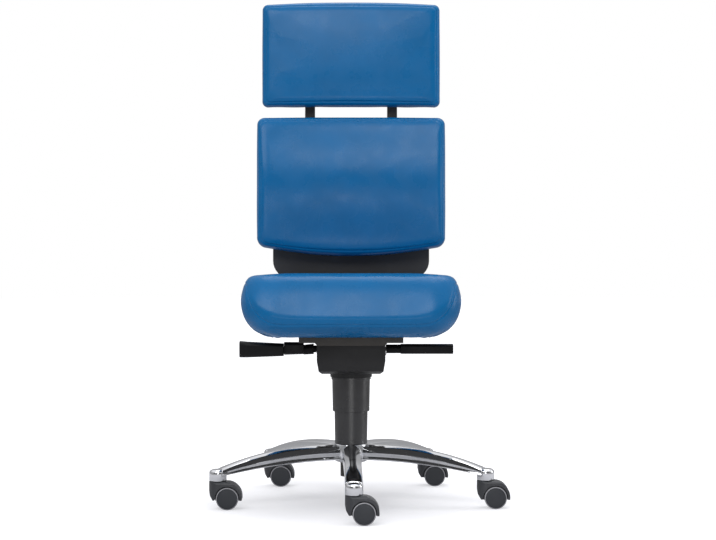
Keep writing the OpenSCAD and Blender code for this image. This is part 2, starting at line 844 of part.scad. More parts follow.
module grip(x0, x1, h, reach, rise) {
  low = rise - h / 2;
  side_plate(x0, x1) difference() {
    union() {
      circle(r = tilt_tube_r + 3);
      translate([-reach + h / 4, low + h / 4]) circle(r = h / 4);
      translate([-reach + h / 4, low + 3 * h / 4]) circle(r = h / 4);
      translate([-reach, low + h / 4]) square([h / 2, h / 2]);
      translate([-reach + h / 4, low]) square([reach - h / 4, h]);
    }
    translate([-reach - 2, low + h + 5]) circle(r = 5);
  }
}

module height_lever() {
  finger_r = 3.5;
  finger_z = cyl_top + button_h + seat_gap + finger_r - lever_z;
  color(black_plastic) translate([0, -lever_y, lever_z]) {
    rod_x(shaft_r, -height_lever_grip - 1, finger_half);
    grip(-height_lever_end, -height_lever_grip, height_lever_h, grip_reach, pair_rise);
    rod_x(shaft_r + 2, -finger_half, finger_half);
    translate([0, lever_y, finger_z]) rod_x(finger_r, -finger_half, finger_half);
    side_plate(-finger_half, finger_half) polygon([
      [0, -shaft_r], [lever_y, finger_z - finger_r], [lever_y, finger_z + finger_r],
      [0, shaft_r]]);
  }
}

module tilt_lever() {
  end = height_lever_grip - 1;
  color(black_plastic) translate([0, -lever_y, lever_z]) difference() {
    union() {
      rod_x(tilt_tube_r, -end, -lever_inner);
      grip(-end, -tilt_lever_grip, height_lever_h - 6, grip_reach - 4, pair_rise);
      rod_x(tilt_tube_r + 4, -tilt_lever_grip, -housing_half - 8);
    }
    rod_x(shaft_r + running, -end - 1, -lever_inner + 1);
  }
}

module seat_lever() {
  color(black_plastic) translate([0, -lever_y, lever_z]) {
    rod_x(shaft_r, lever_inner, seat_lever_grip + 1);
    rod_x(shaft_r + 5, housing_half + 2, seat_lever_grip);
    grip(seat_lever_grip, seat_lever_end, seat_lever_h, grip_reach, seat_lever_rise);
  }
}

// Seat

// Outline of the seat in plan, drawn in from its edge by inset
function seat_ring(inset) =
  let (a = seat_a - inset, b = seat_b - inset, r = max(30, seat_corner - inset))
  [for (p = rounded_ring(a, b, r, 5, 5)) [p[0] * (1 - 0.035 * pow(p[1] / seat_b, 2)), p[1]]];

// Share of the waterfall's drop at a depth
function waterfall(y) = pow(max(0, -y / seat_b - waterfall_start) / (1 - waterfall_start), 2);

function seat_level(inset, z, drop) =
  [for (p = seat_ring(inset)) [p[0], p[1], z - drop * waterfall(p[1])]];

module seat_cushion() {
  steps = 5;
  under = shell_top + soft_gap;
  edge_z = seat_crest - seat_edge_drop;
  recess = seat_shell_inset - soft_gap;
  start = asin(1 - pow(recess / seat_lower_inset, 1 / seat_belly));
  lip = 5;
  lower = [for (k = [0:steps])
    let (t = start + (90 - start) * k / steps)
    seat_level(seat_lower_inset * pow(1 - sin(t), seat_belly),
      seat_low + (seat_widest - seat_low) * (1 - cos(t)), lip)];
  upper = [for (k = [1:steps])
    let (t = 90 * k / steps)
    seat_level(seat_edge_inset * (1 - cos(t)),
      seat_widest + (edge_z - seat_widest) * sin(t), seat_waterfall * k / steps)];
  crown = [
    seat_level(seat_edge_inset + 30, seat_crest - 0.8, seat_waterfall),
    seat_level(seat_edge_inset + 75, seat_crest, seat_waterfall),
    seat_level(seat_edge_inset + 130, seat_crest - 1, seat_waterfall)];
  color(blue_leather) loft(concat([seat_level(recess, under, 0)], lower, upper, crown));
}

module seat_shell() {
  hole_y = [-arm_hole_pitch / 2, arm_hole_pitch / 2];
  color(black_plastic) difference() {
    translate([0, 0, seat_shell_z]) linear_extrude(seat_shell_t)
      polygon(seat_ring(seat_shell_inset));
    for (side = [-1, 1], y = hole_y) translate([side * arm_hole_x, y, seat_shell_z - 1])
      cylinder(d = arm_hole_d, h = seat_shell_t + 2);
    both_sides() for (y = screw_places) translate([runner_x, y, seat_shell_z - 1])
      cylinder(r = screw_r, h = 6);
  }
}

// One side channel of the carrier: it holds the runner's outer edge
module carrier_channel() {
  length = carrier_front + carrier_rear;
  translate([carrier_half - channel_wall, -carrier_front, carrier_z - carrier_t])
    cube([channel_wall, length, lip_z + lip_t - carrier_z + carrier_t]);
  translate([carrier_half - lip_reach, -carrier_front, lip_z]) cube([lip_reach, length, lip_t]);
}

// Turned-down front edge of the carrier, deeper in front of the housing
module carrier_apron() {
  top = carrier_z;
  low = carrier_z - carrier_t - carrier_skirt;
  deep = low - apron_drop;
  along_y(-carrier_front, -carrier_front + carrier_t) polygon([
    [-carrier_half, top], [-carrier_half, low], [-apron_half - apron_drop, low],
    [-apron_half, deep], [apron_half, deep], [apron_half + apron_drop, low],
    [carrier_half, low], [carrier_half, top]]);
}

module seat_carrier() {
  under = carrier_z - carrier_t;
  low = under - carrier_skirt;
  color(dark_metal) difference() {
    union() {
      translate([-carrier_half, -carrier_front, under])
        cube([2 * carrier_half, carrier_front + carrier_rear, carrier_t]);
      carrier_apron();
      both_sides() {
        carrier_channel();
        side_plate(carrier_half - channel_wall, carrier_half) polygon([
          [-carrier_front, under + 1], [-carrier_front, low], [-seat_pivot_y - 30, low],
          [-lever_y - grip_reach - 8, under - 2], [-lever_y + 40, under],
          [-lever_y + 40, under + 1]]);
        side_plate(ear_out - ear_t, ear_out) {
          translate([-seat_pivot_y, seat_pivot_z]) circle(r = pin_r + eye_wall);
          translate([-seat_pivot_y - pin_r - eye_wall, seat_pivot_z])
            square([2 * (pin_r + eye_wall), under - seat_pivot_z]);
        }
        side_plate(ear_out - ear_t, ear_out) {
          translate([link_y - slot_run / 2, link_z]) circle(r = link_r + eye_wall);
          translate([link_y + slot_run / 2, link_z]) circle(r = link_r + eye_wall);
          translate([link_y - slot_run / 2 - link_r - eye_wall, link_z])
            square([slot_run + 2 * (link_r + eye_wall), under - link_z]);
          translate([link_y - slot_run / 2, link_z - link_r - eye_wall])
            square([slot_run, link_r + eye_wall]);
        }
      }
    }
    translate([0, -seat_pivot_y, seat_pivot_z]) rod_x(pin_r + running, -housing_w, housing_w);
    side_plate(-housing_w, housing_w) {
      translate([link_y - slot_run / 2, link_z]) circle(r = link_r + slide_gap);
      translate([link_y + slot_run / 2, link_z]) circle(r = link_r + slide_gap);
      translate([link_y - slot_run / 2, link_z - link_r - slide_gap])
        square([slot_run, 2 * (link_r + slide_gap)]);
    }
    translate([-45, -40, under - 1]) cube([90, 90, carrier_t + 2]);
  }
}

// Runners under the seat shell, held in the carrier's channels
module seat_runners() {
  flange_out = carrier_half - channel_wall - slide_gap;
  low = carrier_z + slide_gap;
  color(black_plastic) both_sides() difference() {
    union() {
      translate([runner_x - runner_w / 2, -runner_len / 2, low])
        cube([runner_w, runner_len, seat_shell_z - low]);
      translate([runner_x, -runner_len / 2, low])
        cube([flange_out - runner_x, runner_len, lip_z - slide_gap - low]);
    }
    for (y = screw_places) translate([runner_x, y, low - 1]) {
      cylinder(r = screw_r, h = 20);
      cylinder(r = 2 * screw_r, h = 4.5);
    }
  }
}

module seat_screws() {
  low = carrier_z + slide_gap + 0.5;
  color(steel) both_sides() for (y = screw_places) translate([runner_x, y, 0]) {
    translate([0, 0, low]) cylinder(r = 2 * screw_r - 0.3, h = 3);
    translate([0, 0, low]) cylinder(r = screw_r, h = seat_shell_z + 5 - low);
  }
}

// Backrest

// One face of the back bar in Y and Z, at an offset from the bar's middle line
function bar_face(offset_in) = let (r = bar_bend - offset_in, y = bar_mid - offset_in)
  concat([[back_pivot_y + fork_len - 5, bar_z + offset_in]],
    [for (k = [0:bend_steps]) let (t = (90 - back_lean) * k / bend_steps)
      [bend_y + r * sin(t), bar_z + bar_bend - r * cos(t)]],
    [[back_y + y * cos(back_lean) + bar_top * sin(back_lean),
      back_z - y * sin(back_lean) + bar_top * cos(back_lean)]]);

module back_bar() {
  outer = bar_face(-bar_t / 2);
  inner = bar_face(bar_t / 2);
  last = len(inner) - 1;
  side_plate(-bar_w / 2, bar_w / 2)
    polygon(concat(outer, [for (k = [0:last]) inner[last - k]]));
}

module back_carrier() {
  color(dark_metal) difference() {
    union() {
      both_sides() side_plate(fork_out - fork_t, fork_out) {
        translate([back_pivot_y, back_pivot_z]) circle(r = fork_h / 2 + 3);
        translate([back_pivot_y, back_pivot_z - fork_h / 2]) square([fork_len, fork_h]);
        translate([link_y, link_z]) circle(r = link_r + eye_wall);
      }
      translate([-fork_out, back_pivot_y + fork_len - fork_bridge, back_pivot_z - fork_h / 2])
        cube([2 * fork_out, fork_bridge, fork_h]);
      back_bar();
    }
    translate([0, back_pivot_y, back_pivot_z]) rod_x(pin_r + running, -housing_w, housing_w);
    translate([0, link_y, link_z]) rod_x(link_r, -housing_w, housing_w);
    back_frame() for (k = [0:7]) translate([0, bar_mid + bar_t / 2, bar_top - 15 - 10 * k])
      rod_x(2.5, -bar_w / 4, bar_w / 4);
  }
}

module link_pin() {
  color(steel) translate([0, link_y, link_z]) rod_x(link_r, -ear_out, ear_out);
}

// Layer of the backrest between two depths, curved round the sitter
module wrap_layer(front, rear) {
  translate([0, -back_wrap, -10]) difference() {
    cylinder(r = back_wrap + rear, h = tall, $fn = 360);
    translate([0, 0, -1]) cylinder(r = back_wrap + front, h = tall + 2, $fn = 360);
  }
}

// Flat rounded rectangle in X and Z, extruded along Y
module panel(w, z0, h, r, y0, y1) {
  translate([0, y1, z0 + h / 2]) rotate([90, 0, 0]) linear_extrude(y1 - y0)
    polygon(rounded_ring(w / 2, h / 2, r, 8, 1));
}

module back_shell() {
  inner_w = bar_w + 2 * slide_gap;
  inner_y = bar_mid - bar_t / 2 - slide_gap;
  inner_d = bar_t + 2 * slide_gap;
  color(black_plastic) back_frame() difference() {
    union() {
      intersection() {
        wrap_layer(0, back_shell_t);
        panel(back_shell_w, 0, back_shell_h, back_shell_corner, -100, 100);
      }
      panel(spine_w, 0, spine_h, 12, back_shell_t / 2, back_shell_t + spine_d - 1);
    }
    translate([-inner_w / 2, inner_y, -1]) cube([inner_w, inner_d, spine_h - 8]);
  }
}

// Guides behind the shell in which the headrest bars slide
module bar_guides() {
  half = head_bar_w / 2 + slide_gap;
  y1 = head_bar_y + head_bar_t + slide_gap + guide_wall;
  color(black_plastic) back_frame() both_sides() difference() {
    intersection() {
      translate([head_bar_x - half - guide_wall, 0, back_shell_h - guide_len - 6])
        cube([2 * (half + guide_wall), y1, guide_len]);
      wrap_layer(back_shell_t, back_shell_t + 54);
    }
    translate([head_bar_x - half, head_bar_y - slide_gap, 0])
      cube([2 * half, head_bar_t + 2 * slide_gap, tall]);
  }
}

function bump(value, centre, spread) = exp(-pow((value - centre) / spread, 2));

// Ring of the back cushion: inset from its edge, depth in front of the shell,
// and the share of the crown and of the lumbar bulge that it takes
function back_level(inset, depth, share) =
  let (a = back_a - inset, b = back_b - inset, r = max(8, 34 - inset / 2),
    mid = back_pad_z + back_b)
  [for (p = rounded_ring(a, b, r, 4, 6))
    let (sag = p[1] < 0 ? -9 : 3, z = mid + p[1] + sag * (1 - pow(p[0] / back_a, 2)),
      wrap = p[0] * p[0] / (2 * back_wrap))
    [p[0], -soft_gap - wrap - depth
      - share * (4 + lumbar_bulge * bump(z, lumbar_z, 95)), z]];

module back_cushion() {
  t = back_pad_t;
  color(blue_leather) back_frame() loft([
    back_level(16, 0, 0), back_level(5, 4, 0), back_level(0, 12, 0),
    back_level(2, t / 2, 0), back_level(0, t - 14, 0.3), back_level(3, t - 8, 0.5),
    back_level(9, t - 3, 0.68), back_level(20, t, 0.8), back_level(40, t + 1, 0.9),
    back_level(75, t + 2, 0.97), back_level(115, t + 2, 1)]);
}

// Headrest

module headrest_bar(side) {
  top = head_mid + head_screw_rise + 20;
  color(dark_metal) back_frame() difference() {
    translate([side * head_bar_x - head_bar_w / 2, head_bar_y, head_bar_z])
      cube([head_bar_w, head_bar_t, top - head_bar_z]);
    for (z = head_screw_places) translate([side * head_bar_x, 0, z]) rod_y(head_screw_r, -10, 30);
  }
}

module headrest_shell() {
  color(black_plastic) back_frame() difference() {
    panel(head_plate_w, head_z + (head_h - head_plate_h) / 2, head_plate_h, 25,
      head_bar_y - head_plate_t, head_bar_y);
    for (side = [-1, 1], z = head_screw_places) translate([side * head_bar_x, 0, z])
      rod_y(head_screw_r, -1, 30);
  }
}

module headrest_screws() {
  y1 = head_bar_y + head_bar_t;
  color(steel) back_frame() for (side = [-1, 1], z = head_screw_places)
    translate([side * head_bar_x, 0, z]) {
      rod_y(head_screw_r, -1, y1);
      rod_y(2 * head_screw_r, y1, y1 + 2.5);
    }
}

function head_level(inset, depth, share) =
  let (a = head_a - inset, b = head_b - inset, r = max(6, 24 - inset / 2),
    mid = head_z + head_b, back = head_bar_y - head_plate_t - soft_gap)
  [for (p = rounded_ring(a, b, r, 4, 6))
    let (sag = p[1] < 0 ? 2 : 3, z = mid + p[1] + sag * (1 - pow(p[0] / head_a, 2)))
    [p[0], back - depth - share * head_crown, z]];

module headrest_cushion() {
  t = head_pad_t;
  color(blue_leather) back_frame() loft([
    head_level(16, 0, 0), head_level(5, 4, 0), head_level(0, 11, 0),
    head_level(2, t / 2, 0), head_level(0, t - 12, 0), head_level(3, t - 6, 0.1),
    head_level(9, t - 2, 0.3), head_level(20, t, 0.6), head_level(40, t, 0.85),
    head_level(75, t, 1)]);
}

base_star();
stand_tube();
guide_bush();
thrust_bearing();
bearing_washer();
piston_rod();
retaining_clip();
pressure_cylinder();
release_button();
sleeve_lower();
sleeve_middle();
sleeve_upper();
for (i = [1:arms]) {
  caster_hood(i);
  caster_stem(i);
  caster_axle(i);
  caster_wheel(i, -1);
  caster_wheel(i, 1);
}
mechanism_housing();
pivot_pin(back_pivot_y, back_pivot_z);  // back_pivot_pin
pivot_pin(-seat_pivot_y, seat_pivot_z);  // seat_pivot_pin
torsion_springs();
height_lever();
tilt_lever();
seat_lever();
seat_carrier();
seat_runners();
seat_shell();
seat_screws();
seat_cushion();
back_carrier();
link_pin();
back_shell();
bar_guides();
back_cushion();
headrest_bar(1);  // headrest_bar_left
headrest_bar(-1);  // headrest_bar_right
headrest_shell();
headrest_screws();
headrest_cushion();
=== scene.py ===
"""Looks of an office swivel chair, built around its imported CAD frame.

Lengths are in metres. The chair faces -Y and stands on the floor at Z = 0.
"""

import json
import logging
import math
from collections.abc import Sequence
from dataclasses import dataclass, field
from enum import Enum

import bmesh
import bpy
import numpy as np
from mathutils import Matrix, Vector


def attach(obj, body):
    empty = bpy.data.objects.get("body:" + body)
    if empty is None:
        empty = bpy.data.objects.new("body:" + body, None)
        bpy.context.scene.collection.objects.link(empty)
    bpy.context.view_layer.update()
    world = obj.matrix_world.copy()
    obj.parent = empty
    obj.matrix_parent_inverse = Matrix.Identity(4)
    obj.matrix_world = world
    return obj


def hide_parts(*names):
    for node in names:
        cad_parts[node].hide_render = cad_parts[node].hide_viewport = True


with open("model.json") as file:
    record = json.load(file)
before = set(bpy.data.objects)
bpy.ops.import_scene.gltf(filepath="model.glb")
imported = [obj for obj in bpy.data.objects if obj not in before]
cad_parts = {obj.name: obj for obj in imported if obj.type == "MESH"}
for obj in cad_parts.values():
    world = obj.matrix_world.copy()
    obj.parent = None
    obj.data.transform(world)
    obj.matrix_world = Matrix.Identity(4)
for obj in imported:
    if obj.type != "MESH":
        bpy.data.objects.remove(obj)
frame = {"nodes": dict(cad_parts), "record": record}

log = logging.getLogger("chair")

Colour = tuple[float, float, float]
Profile = Sequence[tuple[float, float]]
Ring = list[Vector]
Socket = bpy.types.NodeSocket

ARMS = 5
BASE_TURN = math.radians(1.2)
ARM_REACH = 0.315
LEAN = math.radians(5)
BACK_FOOT = Vector((0, 0.248, 0.500))
BACK_WRAP = 1.2
BOX_SIDES = ((0, 1, 2, 3), (4, 7, 6, 5), (0, 4, 5, 1), (3, 2, 6, 7), (0, 3, 7, 4), (1, 5, 6, 2))


class Side(Enum):
    """Side of a caster on which a wheel runs."""

    FRONT = -1
    BACK = 1


def linked(name: str, data: bpy.types.ID) -> bpy.types.Object:
    """Returns a new object of that name in the scene, made of the data."""
    made = bpy.data.objects.new(name, data)
    bpy.context.scene.collection.objects.link(made)
    return made


def discard(piece: bpy.types.Object) -> None:
    """Removes a scratch object and its mesh."""
    mesh = piece.data
    bpy.data.objects.remove(piece)
    bpy.data.meshes.remove(mesh)


class Graph:
    """A node tree, with short ways to add its nodes and links."""

    def __init__(self, tree: bpy.types.NodeTree) -> None:
        """Takes the tree."""
        self.tree = tree

    def node(self, kind: str, operation: str = "", **values: object) -> bpy.types.Node:
        """Adds a node.

        Args:
            kind: the node's type.
            operation: its operation, where it has one.
            values: values of its inputs by name, with underscores for spaces.

        Returns:
            The node.
        """
        made = self.tree.nodes.new(kind)
        if operation:
            made.operation = operation
        for name, value in values.items():
            made.inputs[name.replace("_", " ")].default_value = value
        return made

    def link(self, *pairs: tuple[Socket, Socket]) -> None:
        """Links pairs of sockets, each from an output to an input."""
        for start, end in pairs:
            self.tree.links.new(start, end)


# Finishes


class Skin(Graph):
    """A material's tree, with its shader and its Object coordinates."""

    def __init__(self, name: str) -> None:
        """Starts a material of that name."""
        self.material = bpy.data.materials.new(name)
        self.material.use_nodes = True
        super().__init__(self.material.node_tree)
        self.shader = self.tree.nodes["Principled BSDF"]
        self.place = self.node("ShaderNodeTexCoord").outputs["Object"]

    def noise(self, scale: float, detail: float) -> Socket:
        """Returns a noise pattern around 0.5, of a scale and a number of octaves."""
        made = self.node("ShaderNodeTexNoise", Scale=scale, Detail=detail)
        self.link((self.place, made.inputs["Vector"]))
        return made.outputs["Fac"]


@dataclass(frozen=True)
class Finish:
    """Common ground of every finish: a colour, a roughness and a fine relief."""

    name: str
    colour: Colour
    roughness: float
    relief_scale: float = 900.0
    relief_depth: float = 0.00005
    shade: float = 0.12

    def material(self) -> bpy.types.Material:
        """Returns the finish's material, which is made on first use."""
        name = f"{self.name}_finish"
        found = bpy.data.materials.get(name)
        if found:
            return found
        skin = Skin(name)
        self.dress(skin)
        return skin.material

    def dress(self, skin: Skin) -> None:
        """Sets the shader and links its patterns."""
        self.mottle(skin, 9.0)
        self.vary_roughness(skin, 35.0, 0.06)
        self.raise_relief(skin, skin.noise(self.relief_scale, 3.0))

    def mottle(self, skin: Skin, scale: float) -> None:
        """Varies the colour softly, in patches of a scale."""
        ramp = skin.node("ShaderNodeValToRGB")
        stops = ((0.32, 1 - self.shade), (0.68, 1 + self.shade))
        for stop, (position, share) in zip(ramp.color_ramp.elements, stops):
            stop.position = position
            stop.color = (*[min(1.0, c * share) for c in self.colour], 1)
        skin.link(
            (skin.noise(scale, 4.0), ramp.inputs["Fac"]),
            (ramp.outputs["Color"], skin.shader.inputs["Base Color"]),
        )

    def vary_roughness(self, skin: Skin, scale: float, spread: float) -> None:
        """Varies the roughness about its middle value.

        Args:
            skin: the material's tree.
            scale: the scale of the patches.
            spread: the most that it departs from the middle value.
        """
        low, high = max(0.02, self.roughness - spread), min(1.0, self.roughness + spread)
        span = skin.node("ShaderNodeMapRange", From_Min=0.3, From_Max=0.7, To_Min=low, To_Max=high)
        skin.link(
            (skin.noise(scale, 3.0), span.inputs["Value"]),
            (span.outputs["Result"], skin.shader.inputs["Roughness"]),
        )

    def raise_relief(self, skin: Skin, height: Socket) -> None:
        """Links a height pattern to the shader's normal."""
        bump = skin.node("ShaderNodeBump", Strength=0.6, Distance=self.relief_depth)
        normal = skin.shader.inputs["Normal"]
        skin.link((height, bump.inputs["Height"]), (bump.outputs["Normal"], normal))


@dataclass(frozen=True)
class Moulded(Finish):
    """Satin moulded plastic with a fine spark texture."""

    relief_scale: float = 1500.0
    relief_depth: float = 0.000012
    gloss: float = 0.4

    def dress(self, skin: Skin) -> None:
        """Sets how strongly the plastic shines, beside the common patterns."""
        skin.shader.inputs["Specular IOR Level"].default_value = self.gloss
        super().dress(skin)


@dataclass(frozen=True)
class Metal(Finish):
    """Bare or plated metal."""

    def dress(self, skin: Skin) -> None:
        """Adds the metal's sheen to the common patterns."""
        skin.shader.inputs["Metallic"].default_value = 1.0
        super().dress(skin)


@dataclass(frozen=True)
class Polished(Finish):
    """Die-cast aluminium, polished, with the faint waves that polishing leaves."""

    def dress(self, skin: Skin) -> None:
        """Sets a mirror finish with a slow wave in place of grain."""
        skin.shader.inputs["Metallic"].default_value = 1.0
        self.mottle(skin, 12.0)
        self.vary_roughness(skin, 60.0, 0.025)
        self.raise_relief(skin, skin.noise(22.0, 1.0))


@dataclass(frozen=True)
class Leather(Finish):
    """Coated leather: rounded pebbles, fine pores and a soft lustre."""

    pebble: float = 620.0
    lustre: float = 0.26

    def dress(self, skin: Skin) -> None:
        """Sets the lustre and builds the pebbled grain."""
        skin.shader.inputs["Specular IOR Level"].default_value = self.lustre
        self.mottle(skin, 14.0)
        self.vary_roughness(skin, 26.0, 0.05)
        cells = skin.node("ShaderNodeTexVoronoi", Scale=self.pebble)
        cells.feature = "DISTANCE_TO_EDGE"
        edge = skin.node("ShaderNodeMapRange", From_Max=0.28)
        both = skin.node("ShaderNodeMath", "MULTIPLY_ADD")
        both.inputs[1].default_value = 0.5
        skin.link(
            (skin.place, cells.inputs["Vector"]),
            (cells.outputs["Distance"], edge.inputs["Value"]),
            (skin.noise(self.relief_scale, 4.0), both.inputs[0]),
            (edge.outputs["Result"], both.inputs[2]),
        )
        self.raise_relief(skin, both.outputs["Value"])


ALUMINIUM = Polished(
    "polished_aluminium", (0.80, 0.81, 0.83), 0.07, relief_depth=0.0003, shade=0.03
)
BLACK = Moulded("black_plastic", (0.007, 0.007, 0.008), 0.44, gloss=0.2)
SHELL = Moulded("shell_plastic", (0.045, 0.044, 0.045), 0.48, gloss=0.3)
HOUSING = Moulded("housing_plastic", (0.026, 0.026, 0.027), 0.44, gloss=0.2)
COLUMN = Moulded("column_plastic", (0.015, 0.015, 0.017), 0.32, 1800.0, 0.000006, gloss=0.95)
CASTER = Moulded("caster_plastic", (0.038, 0.040, 0.045), 0.38)
RIM = Moulded("wheel_rim", (0.028, 0.031, 0.037), 0.42, relief_depth=0.000010)
TREAD = Moulded("wheel_tread", (0.30, 0.30, 0.32), 0.62, 700.0, 0.00002, gloss=0.3)
PAINT = Finish("painted_steel", (0.030, 0.026, 0.022), 0.50, 2200.0, 0.00001)
ZINC = Metal("zinc_steel", (0.55, 0.55, 0.56), 0.30, 1200.0, 0.00002)
BUSH = Moulded("bush_plastic", (0.60, 0.57, 0.48), 0.45, 900.0, 0.00003)
BLUE = Leather("blue_leather", (0.0, 0.116, 0.308), 0.29, 1700.0, 0.00003, shade=0.05)
THREAD = Finish("blue_thread", (0.0, 0.14, 0.38), 0.6, 2600.0, 0.0001)

SLOT_FINISHES: dict[str, Finish] = {
    "polished_aluminium": ALUMINIUM,
    "black_plastic": BLACK,
    "column_plastic": COLUMN,
    "caster_plastic": CASTER,
    "wheel": RIM,
    "painted_steel": PAINT,
    "steel": ZINC,
    "bush_plastic": BUSH,
    "blue_leather": BLUE,
}
NODE_FINISHES: dict[str, Finish] = {
    "mechanism_housing": HOUSING,
    "back_shell": SHELL,
    "headrest_shell": SHELL,
}


# Mesh helpers


def finish_mesh(
    name: str, verts: Ring, faces: Sequence[Sequence[int]], sharp: float, weld: float = 1e-6
) -> bpy.types.Object:
    """Makes a closed, smooth-shaded object with its normals outwards.

    Args:
        name: the piece's name.
        verts: its points.
        faces: its faces.
        sharp: the angle in degrees past which an edge stays sharp.
        weld: the distance within which points merge.

    Returns:
        The new object, at the origin.
    """
    mesh = bpy.data.meshes.new(name)
    mesh.from_pydata([tuple(v) for v in verts], [], [tuple(f) for f in faces])
    work = bmesh.new()
    work.from_mesh(mesh)
    bmesh.ops.remove_doubles(work, verts=work.verts, dist=weld)
    bmesh.ops.recalc_face_normals(work, faces=work.faces)
    work.to_mesh(mesh)
    work.free()
    mesh.shade_smooth()
    mesh.set_sharp_from_angle(angle=math.radians(sharp))
    return linked(name, mesh)


def lathe_data(profile: Profile, segments: int) -> tuple[list[Vector], list[list[int]]]:
    """Turns a profile of radius and height about Z.

    Args:
        profile: points from the axis round to the axis, or a closed loop off it.
        segments: steps round the axis.

    Returns:
        Points and faces of the closed form.
    """
    verts: list[Vector] = []
    rows: list[list[int]] = []
    for r, z in profile:
        if r < 1e-7:
            verts.append(Vector((0, 0, z)))
            rows.append([len(verts) - 1] * segments)
            continue
        row = []
        for k in range(segments):
            a = 2 * math.pi * k / segments
            verts.append(Vector((r * math.cos(a), r * math.sin(a), z)))
            row.append(len(verts) - 1)
        rows.append(row)
    closed = profile[0][0] > 1e-7
    faces = []
    for i in range(len(rows) if closed else len(rows) - 1):
        low, high = rows[i], rows[(i + 1) % len(rows)]
        for k in range(segments):
            n = (k + 1) % segments
            face = list(dict.fromkeys([low[k], low[n], high[n], high[k]]))
            if len(face) > 2:
                faces.append(face)
    return verts, faces


def loft_data(rings: Sequence[Sequence[Vector]]) -> tuple[list[Vector], list[list[int]]]:
    """Skins rings of equal length and closes both ends with a fan.

    Args:
        rings: the rings in order.

    Returns:
        Points and faces of the closed form.
    """
    n = len(rings[0])
    verts = [v for ring in rings for v in ring]
    faces = [
        [k * n + i, k * n + (i + 1) % n, (k + 1) * n + (i + 1) % n, (k + 1) * n + i]
        for k in range(len(rings) - 1)
        for i in range(n)
    ]
    for start, ring in ((0, rings[0]), ((len(rings) - 1) * n, rings[-1])):
        verts.append(sum(ring, Vector()) / n)
        faces += [[len(verts) - 1, start + i, start + (i + 1) % n] for i in range(n)]
    return verts, faces


def rounded_ring(
    a: float, b: float, r: float, arc_steps: int, edge_steps: int
) -> list[tuple[float, float]]:
    """Rounded rectangle as a ring of points.

    Args:
        a: half width.
        b: half height.
        r: corner radius.
        arc_steps: steps on each corner.
        edge_steps: steps on each edge.

    Returns:
        The points, anticlockwise.
    """
    signs = ((1, 1), (-1, 1), (-1, -1), (1, -1))

    def on_corner(c: int, share: float) -> tuple[float, float]:
        """Point on the arc of one corner."""
        t = math.pi / 2 * (c + share)
        return signs[c][0] * (a - r) + r * math.cos(t), signs[c][1] * (b - r) + r * math.sin(t)

    points = []
    for c in range(4):
        points += [on_corner(c, j / arc_steps) for j in range(arc_steps + 1)]
        start, end = on_corner(c, 1), on_corner((c + 1) % 4, 0)
        for j in range(1, edge_steps):
            t = j / edge_steps
            points.append(tuple(p + (q - p) * t for p, q in zip(start, end)))
    return points


def cubic(table: np.ndarray, at: np.ndarray) -> np.ndarray:
    """Reads a table at fractional rows, on a smooth line through its rows.

    Args:
        table: the rows, along the first axis.
        at: the fractional row numbers.

    Returns:
        One row for each number.
    """
    padded = np.concatenate([2 * table[:1] - table[1:2], table, 2 * table[-1:] - table[-2:-1]])
    low = np.clip(np.floor(at).astype(int), 0, len(table) - 2)
    t = (at - low).reshape(-1, *[1] * (table.ndim - 1))
    p0, p1, p2, p3 = (padded[low + k] for k in range(4))
    square, cube = 2 * p0 - 5 * p1 + 4 * p2 - p3, 3 * p1 - p0 - 3 * p2 + p3
    return 0.5 * (2 * p1 + (p2 - p0) * t + square * t**2 + cube * t**3)


def back_matrix() -> Matrix:
    """Returns the matrix from the backrest's own upright frame to the chair's."""
    return Matrix.Translation(BACK_FOOT) @ Matrix.Rotation(-LEAN, 4, "X")


def caster_place(index: int) -> Vector:
    """Returns the foot of a caster's stem axis on the floor."""
    a = -math.pi / 2 + BASE_TURN + 2 * math.pi / ARMS * (index - 1)
    return Vector((ARM_REACH * math.cos(a), ARM_REACH * math.sin(a), 0))


def dress(
    piece: bpy.types.Object, finish: Finish, body: str, nodes: Sequence[str] = ()
) -> None:
    """Gives a finished piece its material and body, and hides the nodes that it stands for.

    Args:
        piece: the piece.
        finish: its finish.
        body: the body that it rides on.
        nodes: the CAD nodes that it stands for.
    """
    if not piece.data.materials:
        piece.data.materials.append(finish.material())
    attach(piece, body)
    if nodes:
        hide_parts(*nodes)
    log.info("%s: %d faces on %s", piece.name, len(piece.data.polygons), body)


def baked(piece: bpy.types.Object) -> bpy.types.Object:
    """Turns a piece and its modifiers into a plain mesh.

    Args:
        piece: the piece, whose modifiers are dropped.

    Returns:
        The same object, or a mesh object in a curve's place.
    """
    graph = bpy.context.evaluated_depsgraph_get()
    mesh = bpy.data.meshes.new_from_object(piece.evaluated_get(graph), depsgraph=graph)
    name = piece.name
    if piece.type != "MESH":
        bpy.data.objects.remove(piece)
        return linked(name, mesh)
    piece.modifiers.clear()
    old, piece.data = piece.data, mesh
    bpy.data.meshes.remove(old)
    mesh.name = name
    return piece


# Geometry Nodes


